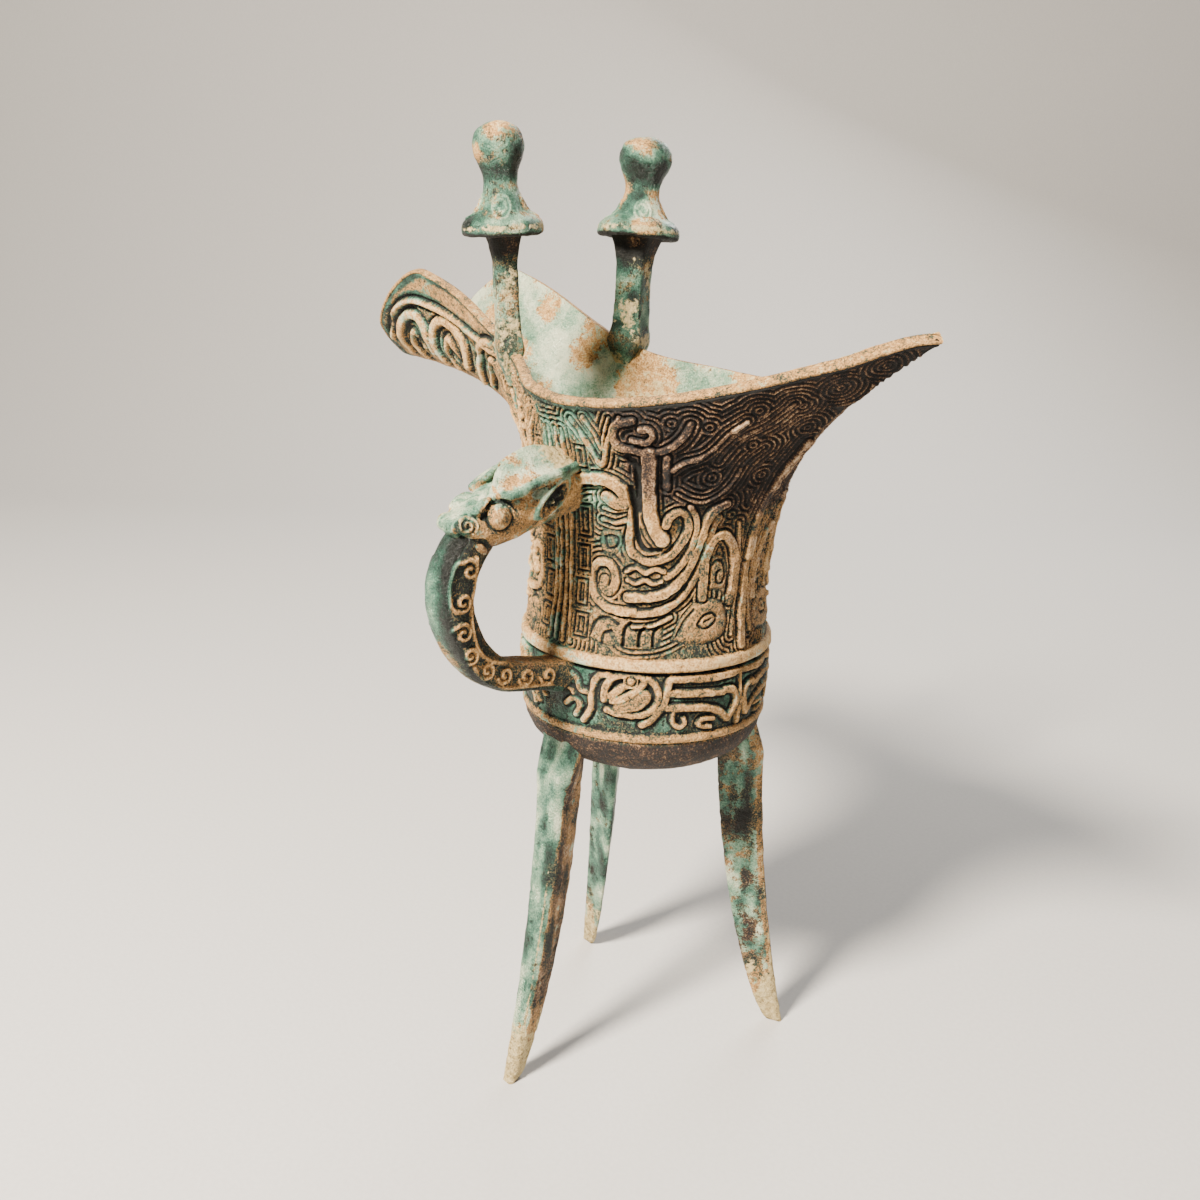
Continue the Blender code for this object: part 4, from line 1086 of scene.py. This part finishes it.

# ---- The handle --------------------------------------------------------------------------
# A flat bar leaves the wall under the upper roll and swings out and up into the beast's
# mouth. Its back is smooth and glossy green, with painted light high up and painted shade
# low down and towards one edge; linked spirals stand along both sides.
HANDLE_REACH = 28.4
HANDLE_WIDTH = 7.8
HANDLE_THICKNESS = 6.3
HANDLE_FOOT_DROP = 4.5
HEAD_RISE = 34.8
SPIRAL_LINE = 0.62
# Middle of each spiral on the bar's side, seen from the tail, its radius, start and turn
HANDLE_SPIRALS = ((-51.8, 120.4, 2.1, 130.0, -440.0), (-53.4, 114.6, 1.9, -130.0, 440.0),
                  (-53.3, 108.6, 2.0, 130.0, -440.0), (-51.6, 104.0, 1.9, -120.0, 440.0),
                  (-47.6, 100.2, 2.0, 200.0, 440.0), (-43.2, 98.3, 1.9, 190.0, 440.0),
                  (-37.8, 96.8, 2.0, 190.0, 440.0), (-32.0, 95.6, 2.0, 190.0, 440.0))
# Lines that link the spirals
HANDLE_LINKS = (((-53.2, 122.0), (-54.6, 122.0), (-55.8, 119.8), (-56.3, 117.2), (-56.0, 114.4),
                 (-54.8, 112.9)),
                ((-54.6, 110.2), (-56.0, 109.2), (-56.2, 106.6), (-55.0, 104.0), (-53.2, 102.4),
                 (-52.2, 102.2)),
                ((-50.6, 101.6), (-48.4, 98.0), (-45.2, 96.2), (-41.4, 95.2), (-37.6, 94.6),
                 (-31.0, 93.5)),
                ((-50.2, 122.4), (-50.4, 117.4), (-51.4, 112.6), (-51.0, 108.4), (-49.6, 104.6),
                 (-46.6, 101.8), (-42.0, 100.4), (-36.4, 99.0), (-30.4, 97.9)))


def spiral(middle, radius, closing, start, turn, squash=1.0):
    """A line that winds in towards its middle, from a bearing and through a turn in degrees."""
    line = []
    for i in range(33):
        inward = radius * (1.0 - closing * i / 32.0)
        bearing = math.radians(start + turn * i / 32.0)
        line.append((middle[0] + inward * math.cos(bearing),
                     middle[1] + squash * inward * math.sin(bearing)))
    return np.array(line)


def handle_bar():
    body, low, reach = BODY_RADIUS, UPPER_LINE - HANDLE_FOOT_DROP, HANDLE_REACH - 0.12
    rise = HEAD_RISE - 5.0
    stations = ((0.0, -0.01, 0.0, 1.2, 1.0), (0.06, 0.0, 8.0, 1.08, 1.0),
                (0.14, 0.02, 12.0, 1.0, 1.0), (0.32, 0.06, 14.0, 1.0, 1.0),
                (0.52, 0.10, 20.0, 1.0, 1.05), (0.70, 0.19, 36.0, 1.0, 1.15),
                (0.85, 0.33, 55.0, 1.0, 1.25), (0.95, 0.50, 76.0, 1.0, 1.35),
                (1.0, 0.67, 92.0, 1.0, 1.45), (0.975, 0.84, 106.0, 1.0, 1.5),
                (0.89, 0.99, 122.0, 1.0, 1.45), (0.77, 1.10, 132.0, 0.96, 1.3))
    path = np.array([(-(body + out * reach), low + up * rise) for out, up, _, _, _ in stations])
    path[0, 0] = -(body - 0.5 * WALL)
    run = run_along(path)
    at = np.linspace(0.0, run[-1], 300)
    y, z = (through(list(zip(run, path[:, k])), at) for k in (0, 1))
    heading, swell, belly = (through(list(zip(run, [s[k] for s in stations])), at)
                             for k in (2, 3, 4))
    rings, ring_size = [], 80
    for k in range(len(at)):
        w, t = 0.5 * HANDLE_WIDTH * swell[k], 0.5 * HANDLE_THICKNESS * swell[k]
        turn = math.radians(heading[k])
        deep = t * belly[k]
        corners = ((-w, -0.2 * t), (-0.93 * w, -0.58 * t), (-0.70 * w, -0.88 * t), (-0.3 * w, -t),
                   (0.3 * w, -t), (0.70 * w, -0.88 * t), (0.93 * w, -0.58 * t), (w, -0.2 * t),
                   (w, 0.62 * deep), (0.76 * w, 0.94 * deep), (0.0, deep), (-0.76 * w, 0.94 * deep),
                   (-w, 0.62 * deep))
        flat = around_outline([(a, b, 0.0) for a, b in corners], ring_size, 2)
        rings.append(np.stack([flat[:, 0], y[k] + math.sin(turn) * flat[:, 1],
                               z[k] + math.cos(turn) * flat[:, 1]], -1))
    points, faces = tube(rings)
    points, normal = roughened(points, faces, 0.6, 61)
    side = past(np.abs(normal[:, 0]), 0.6, 0.25)
    seen = np.stack([points[:, 1], points[:, 2]], -1)
    gap = np.full(len(points), 9.0)
    for y0, z0, radius, start, turn in HANDLE_SPIRALS:
        line = spiral((y0, z0), radius, 0.80, start, turn)
        gap = np.minimum(gap, distance(seen, line, 3.0))
    for link in HANDLE_LINKS:
        gap = np.minimum(gap, distance(seen, curve(link, 0.3), 3.0))
    raised = np.sqrt(past(gap, 0.5 * SPIRAL_LINE + 0.2, -0.4))
    in_field = side * past(points[:, 1], -57.0, 0.4)
    sunk = -0.40 * side
    height = in_field * (sunk + 0.62 * raised)
    points = points + normal * height[:, None]
    tangent = np.radians(np.append(np.repeat(heading, ring_size), [heading[0], heading[-1]]))
    backward = normal[:, 1] * np.sin(tangent) + normal[:, 2] * np.cos(tangent)
    back = past(-backward, 0.2, 0.4)
    inner = past(backward, 0.2, 0.4)
    # Painted light and shade on the back: lighter and greener high up, browner low down, and darker
    # towards its +X edge.
    lit = past(points[:, 2], 103.0, 12.0)
    ground = 0.30 - 0.14 * past(points[:, 2], 100.0, 6.0)
    shade_across_back = past(points[:, 0], -0.6, 3.2)
    plain = 0.52 + (-0.07 - 0.40 * shade_across_back + 0.26 * grain(points, 6.0, 63)) * back
    tints = {
        "relief": plain + (ground + (0.76 - ground) * raised * in_field - plain) * side,
        "teal": (0.95 * back * (0.45 + 0.55 * lit) + 0.1 * inner
                 + 0.15 * grain(points, 5.0, 62)),
        "brown": 0.45 * inner + 0.35 * back * (1.0 - lit) - 0.3 * raised * side,
        "cream": 0.1 * lit * back,
    }
    return piece("handle-bar", points, faces, tints)


handle_bar()

# ---- The beast's head --------------------------------------------------------------------
# A horned head bites the top of the bar. It has flat swept-back horns, leaf-shaped ears,
# round eyes under a cut brow line, and a spiral for each nostril.
HEAD_LENGTH = 28.2
HEAD_WIDTH = 12.0
HEAD_HEIGHT = 13.0
HORN_WIDTH = 6.0
EYE_RADIUS = 2.4
NECK = UPPER_LINE + HEAD_RISE
EYE = (-46.0, 129.7)
NOSTRIL = (-52.3, 128.6)
EAR = (-34.6, 132.2)
EAR_TILT = 37.0
HEAD_VOXEL = 0.27


def within_wall(x, height):
    """Where along Y the middle of the wall lies, behind a place on the head."""
    angle = 270.0 + math.degrees(math.asin(x / BODY_RADIUS))
    return on_body([(angle, height)])[0][1] + 0.5 * WALL


def ellipsoid(centre, radii, tilt):
    """A rounded mass, tilted about a line across the head."""
    build = bmesh.new()
    bmesh.ops.create_icosphere(build, subdivisions=4, radius=1.0)
    points = np.array([v.co for v in build.verts]) * np.array(radii)
    faces = [[v.index for v in f.verts] for f in build.faces]
    build.free()
    turn = np.array(Matrix.Rotation(math.radians(tilt), 3, "X"))
    return points @ turn.T + np.array(centre), faces


def horn_place(share):
    """A point on a horn's outer edge, then the horn's middle and half width at that share."""
    leaf = ((0, 0.40), (0.10, 0.90), (0.3, 1.10), (0.65, 1.12), (1, 0.62))
    half = 0.5 * HORN_WIDTH * float(through(leaf, share))
    x = (0.26 + 0.03 * math.sin(math.pi * share)) * HEAD_WIDTH
    y = -(BODY_RADIUS + HEAD_LENGTH * 0.68 * (1.0 - share))
    z = NECK + 1.2 + 4.6 * math.sin(0.5 * math.pi * min(1.0, share / 0.70)) - 0.6 * share**3
    return x + 1.05 * half, y, z - 0.60 * half, x, z, half


def head_blank():
    """The head's masses before they are melted into one and chased."""
    solids = []
    stations = ((0.0, 0.90, 0.86, -0.4), (0.10, 0.90, 0.86, -1.0), (0.34, 0.96, 0.88, -2.2),
                (0.55, 0.98, 0.90, -3.6), (0.72, 0.90, 0.76, -4.8), (0.84, 0.74, 0.54, -5.2),
                (0.94, 0.58, 0.34, -5.2), (1.0, 0.34, 0.17, -5.0))
    rings = []
    for out in np.linspace(0.0, 1.0, 40):
        w, h, centre = (float(through([(s[0], s[k]) for s in stations], out)) for k in (1, 2, 3))
        w, h = 0.5 * w * HEAD_WIDTH, 0.5 * h * HEAD_HEIGHT
        shape = ((-0.5 * w, -h), (0.5 * w, -h), (0.93 * w, -0.5 * h), (w, 0.1 * h),
                 (0.82 * w, 0.65 * h), (0.4 * w, h), (-0.4 * w, h), (-0.82 * w, 0.65 * h),
                 (-w, 0.1 * h), (-0.93 * w, -0.5 * h))
        y = -(BODY_RADIUS + HEAD_LENGTH * out)
        ring = around_outline([(a, y, NECK + centre + b) for a, b in shape], 48, 4)
        if out == 0.0:
            ring[:, 1] = [within_wall(p[0], p[2]) for p in ring]
        rings.append(ring[::-1])
    solids.append(tube(rings))
    for sign in (-1.0, 1.0):
        horn = []
        for share in np.linspace(0.0, 1.0, 28):
            thick = float(through(((0, 0.6), (0.12, 0.9), (0.35, 1.0), (1, 1.0)), share))
            _, y, _, x, z, half = horn_place(share)
            slope = 0.68 * half
            section = ((x - half, z + slope - 1.8 * thick), (x + half, z - slope - 1.5 * thick),
                       (x + 1.12 * half, z - slope - 0.5 * thick),
                       (x + 0.98 * half, z - slope + 0.65 * thick),
                       (x + 0.5 * half, z - 0.55 * slope), (x - 0.4 * half, z + 0.5 * slope),
                       (x - half, z + slope + 0.2 * thick))
            ring = around_outline([(sign * a, y, b) for a, b in section], 40, 1)
            if share == 1.0:
                ring[:, 1] = [within_wall(float(np.clip(p[0], -12.0, 12.0)), p[2]) for p in ring]
            horn.append(ring if sign < 0 else ring[::-1])
        solids.append(tube(horn))
        solids.append(ellipsoid((sign * 4.7, EYE[0], EYE[1]), (1.7, EYE_RADIUS, EYE_RADIUS), 0.0))
        solids.append(ellipsoid((sign * 5.6, EAR[0], EAR[1]), (2.1, 5.8, 2.8), EAR_TILT))
        solids.append(ellipsoid((sign * 2.1, NOSTRIL[0], NOSTRIL[1] - 0.2), (1.4, 2.5, 1.7), 0.0))
        solids.append(ellipsoid((sign * 3.0, -48.8, 131.6), (1.3, 2.8, 1.0), 30.0))
    solids.append(ellipsoid((0.0, -49.0, 124.0), (3.9, 3.4, 1.9), -35.0))
    return solids


def melted(solids, voxel):
    """One closed mesh round all of the solids."""
    points, faces, start = [], [], 0
    for solid_points, solid_faces in solids:
        points.append(solid_points)
        faces += [[start + i for i in face] for face in solid_faces]
        start += len(solid_points)
    mesh = bpy.data.meshes.new("blank")
    mesh.from_pydata(np.concatenate(points).tolist(), [], faces)
    build = bmesh.new()
    build.from_mesh(mesh)
    bmesh.ops.recalc_face_normals(build, faces=build.faces)
    build.to_mesh(mesh)
    build.free()
    blank = placed("blank", mesh)
    melt = blank.modifiers.new("melt", "REMESH")
    melt.mode = "VOXEL"
    melt.voxel_size = voxel
    soften = blank.modifiers.new("soften", "SMOOTH")
    soften.factor = 0.5
    soften.iterations = 3
    graph = bpy.context.evaluated_depsgraph_get()
    done = bpy.data.meshes.new_from_object(blank.evaluated_get(graph))
    out = np.zeros(len(done.vertices) * 3)
    done.vertices.foreach_get("co", out)
    normal = np.zeros(len(done.vertices) * 3)
    done.vertices.foreach_get("normal", normal)
    made = [list(p.vertices) for p in done.polygons]
    bpy.data.objects.remove(blank)
    bpy.data.meshes.remove(mesh)
    bpy.data.meshes.remove(done)
    return out.reshape(-1, 3), normal.reshape(-1, 3), made


def beast_head():
    points, normal, faces = melted(head_blank(), HEAD_VOXEL)
    x, y, z = points.T
    seen = points[:, 1:]
    side = past(np.abs(normal[:, 0]), 0.15, 0.3) * past(np.abs(x), 1.0, 1.0)

    def cut(line, width, depth):
        gap = distance(seen, curve(line, 0.3), 3.0)
        return -depth * smooth(1.0 - gap / width)

    lips = ((-55.4, 127.4), (-54.0, 126.8), (-52.6, 126.0), (-51.0, 125.4), (-49.0, 125.4),
            (-47.4, 124.2), (-46.7, 123.0))
    mouth = side * cut(lips, 0.6, 0.8)
    brow = side * cut(((-49.4, 129.6), (-48.6, 131.4), (-46.4, 132.6), (-43.8, 132.1),
                       (-42.4, 130.5)), 0.45, 0.55)
    eye_gap = np.hypot(y - EYE[0], z - EYE[1])
    socket = -0.5 * hump(eye_gap - EYE_RADIUS, 0.25, 0.4) * side
    nostril_gap = distance(seen, spiral(NOSTRIL, 2.1, 0.85, -60.0, 620.0, 0.9), 3.0)
    in_nostril = past(np.hypot(y - NOSTRIL[0], z - NOSTRIL[1]), 2.5, -0.4) * side
    nostril = in_nostril * (0.35 * smooth(1.0 - nostril_gap / 0.35) - 0.15)
    ear_turn = math.radians(EAR_TILT)
    u = (y - EAR[0]) * math.cos(ear_turn) + (z - EAR[1]) * math.sin(ear_turn)
    v = (z - EAR[1]) * math.cos(ear_turn) - (y - EAR[0]) * math.sin(ear_turn)
    ear_out = np.hypot((u - 0.2) / 4.4, (v + 0.3) / 1.7)
    in_ear = past(ear_out, 1.0, -0.3) * past(np.abs(x), 4.9, 0.5)
    ear_edge = hump(ear_out, 1.18, 0.22) * past(np.abs(x), 5.2, 0.5)
    beads = np.full(len(points), 9.0)
    for place in (-2.6, -0.6, 1.4, 3.0):
        beads = np.minimum(beads, np.hypot(u - place, v + 0.6))
    ear = 0.25 * ear_edge - 1.1 * in_ear + 0.85 * in_ear * smooth(1.0 - beads / 0.9)
    wave = np.cos(2.0 * np.pi * (y + 1.2 * np.abs(x)) / 2.6)
    crease = -0.25 * past(wave, 0.5, 0.5)
    crease = crease * past(y, -43.5, -1.0) * past(y, -51.0, 2.0) * past(normal[:, 2], 0.3, 0.3)
    horn_gap = np.full(len(points), 9.0)
    for sign in (-1.0, 1.0):
        edge = np.array([horn_place(share)[:3] for share in np.linspace(0.02, 1.0, 28)])
        horn_gap = np.minimum(horn_gap, distance(points, edge * (sign, 1.0, 1.0), 3.0))
    horn_edge = smooth(1.0 - horn_gap / 1.3)
    height = (mouth + brow + socket + nostril + ear + crease + 0.38 * horn_edge
              + 0.7 * cast_skin(points, 71))
    points = points + normal * height[:, None]
    horn = past(z, 134.3, 0.8) * past(y, -44.6, 1.0)
    top = past(normal[:, 2], 0.40, 0.25)
    snout = past(y, -48.0, -3.0)
    cheek = (1.0 - top) * (1.0 - horn) * (1.0 - 0.7 * snout)
    ball = past(eye_gap, EYE_RADIUS - 0.3, -0.5) * side
    dark = (-(brow + socket) * 1.5 + in_ear * (1.0 - smooth(1.0 - beads / 0.9)) - mouth * 1.1
            - crease * 1.2)
    dark = np.clip(dark, 0.0, 1.0)
    ring = smooth(1.0 - nostril_gap / 0.4) * in_nostril
    dark = np.maximum(dark, 0.75 * in_nostril * (1.0 - ring))
    flat_horn = horn * top * (1.0 - horn_edge)
    tints = {
        "relief": (0.72 - 0.66 * dark + 0.28 * grain(points, 2.0, 72) - 0.08 * cheek
                   - 0.20 * horn_edge),
        "teal": (0.44 + 0.18 * top + 0.22 * snout - 0.12 * cheek + 0.26 * grain(points, 4.0, 73)
                 + 0.55 * horn_edge - 0.2 * ball + 0.4 * ear_edge),
        "brown": 0.30 * cheek * (1.0 - ball) + 0.25 * past(z, 126.5, -3.0),
        "cream": (0.24 * flat_horn + 0.50 * flat_horn * past(y, -37.0, 7.0) + 0.26 * snout * top
                  + 0.6 * ring + 0.26 * ball + 0.22 * cheek - 0.3 * horn_edge),
    }
    return piece("beast-head", points, faces, tints)


beast_head()

# ---- Floor, light and camera -------------------------------------------------------------
# The cup stands on a pale sweep. A small strong light hangs high in front of its handle, so
# the tail's side falls into shade. A weak broad one fills from beyond the tail, and another
# lights the far side.
FLOOR_REACH = 900.0
FLOOR_HALF_WIDTH = 1600.0
SWEEP_RADIUS = 320.0
SWEEP_RISE = 1500.0
SWEEP_BEARING = 44.6
LIGHT_TARGET = (0.0, 0.0, 110.0)
# Name, place, width across, watts and colour
LIGHTS = (("key", (20.0, -520.0, 600.0), 150.0, 28.0, "FFF3E2"),
          ("fill", (620.0, -160.0, 320.0), 600.0, 0.8, "F4F2FF"),
          ("back", (-300.0, 620.0, 560.0), 500.0, 7.0, "FAF8F4"))
SKY_COLOUR = "E4E2DE"
SKY_STRENGTH = 0.18
LENS = 37.23
SENSOR = 36.0
CAMERA_PLACE = (172.3, -189.1, 180.0)
CAMERA_BEARING = 42.33
CAMERA_ASIDE = 2.28
CAMERA_PITCH = -16.58
CAMERA_ROLL = 1.91


def sweep():
    """A pale floor that curves up into a backdrop behind the cup, seen from the camera."""
    behind = FLOOR_REACH * 0.6
    line = [(-FLOOR_REACH, 0.0), (behind, 0.0)]
    for i in range(1, 25):
        turn = math.radians(90.0 * i / 24.0)
        line.append((behind + SWEEP_RADIUS * math.sin(turn), SWEEP_RADIUS * (1.0 - math.cos(turn))))
    line.append((behind + SWEEP_RADIUS, SWEEP_RISE))
    bearing = math.radians(SWEEP_BEARING)
    back = np.array([-math.sin(bearing), math.cos(bearing)])
    across = np.array([back[1], -back[0]])
    points, faces = [], []
    for depth, height in line:
        for side in (-FLOOR_HALF_WIDTH, FLOOR_HALF_WIDTH):
            x, y = back * depth + across * side
            points.append(((x + MIDDLE[0]) * MM, (y + MIDDLE[1]) * MM, height * MM))
    for i in range(len(line) - 1):
        faces.append((2 * i, 2 * i + 1, 2 * i + 3, 2 * i + 2))
    mesh = bpy.data.meshes.new("sweep")
    mesh.from_pydata(points, [], faces)
    mesh.shade_smooth()
    material = bpy.data.materials.new("pale studio paper")
    material.use_nodes = True
    tree = material.node_tree
    shader = tree.nodes["Principled BSDF"]
    place = node(tree, "ShaderNodeTexCoord").outputs["Object"]
    fibre = node(tree, "ShaderNodeTexNoise", Vector=place, Scale=900.0, Detail=4.0).outputs["Fac"]
    tint = ramp(tree, fibre, ((0.3, "BEBCB9"), (0.7, "C4C2BF")))
    tree.links.new(tint, shader.inputs["Base Color"])
    shader.inputs["Roughness"].default_value = 0.9
    relief = node(tree, "ShaderNodeBump", Strength=0.15, Distance=0.0001, Height=fibre)
    tree.links.new(relief.outputs[0], shader.inputs["Normal"])
    mesh.materials.append(material)
    floor = placed("sweep", mesh)


def aimed(name, data, place, target):
    """An object at a place in millimetres from the body's axis, looking at a target."""
    made = placed(name, data)
    at = Vector((np.array(place) + MIDDLE) * MM)
    to = Vector((np.array(target) + MIDDLE) * MM)
    turn = (to - at).to_track_quat("-Z", "Y").to_matrix().to_4x4()
    made.matrix_world = Matrix.Translation(at) @ turn
    return made


def soft_light(name, place, size, watts, colour):
    data = bpy.data.lights.new(name, "AREA")
    data.shape = "DISK"
    data.size = size * MM
    data.energy = watts
    data.color = linear(colour)[:3]
    return aimed(name, data, place, LIGHT_TARGET)


def camera():
    """A camera between the handle's side and the tail's that looks a little down."""
    yaw = math.radians(CAMERA_BEARING) + math.radians(CAMERA_ASIDE)
    pitch = math.radians(CAMERA_PITCH)
    roll = math.radians(CAMERA_ROLL)
    ahead = Vector((-math.sin(yaw) * math.cos(pitch), math.cos(yaw) * math.cos(pitch),
                    math.sin(pitch)))
    level = Vector((math.cos(yaw), math.sin(yaw), 0.0))
    above = level.cross(ahead)
    right = level * math.cos(roll) + above * math.sin(roll)
    up = above * math.cos(roll) - level * math.sin(roll)
    data = bpy.data.cameras.new("camera")
    data.lens = LENS
    data.sensor_width = SENSOR
    data.clip_start = 0.01
    data.clip_end = 20.0
    made = placed("camera", data)
    at = Vector((np.array(CAMERA_PLACE) + MIDDLE) * MM)
    made.matrix_world = Matrix(((right.x, up.x, -ahead.x, at.x), (right.y, up.y, -ahead.y, at.y),
                                (right.z, up.z, -ahead.z, at.z), (0.0, 0.0, 0.0, 1.0)))
    bpy.context.scene.camera = made


sweep()
for light in LIGHTS:
    soft_light(*light)
world = bpy.data.worlds.new("studio")
bpy.context.scene.world = world
world.use_nodes = True
sky = world.node_tree.nodes["Background"]
sky.inputs["Color"].default_value = linear(SKY_COLOUR)
sky.inputs["Strength"].default_value = SKY_STRENGTH
camera()
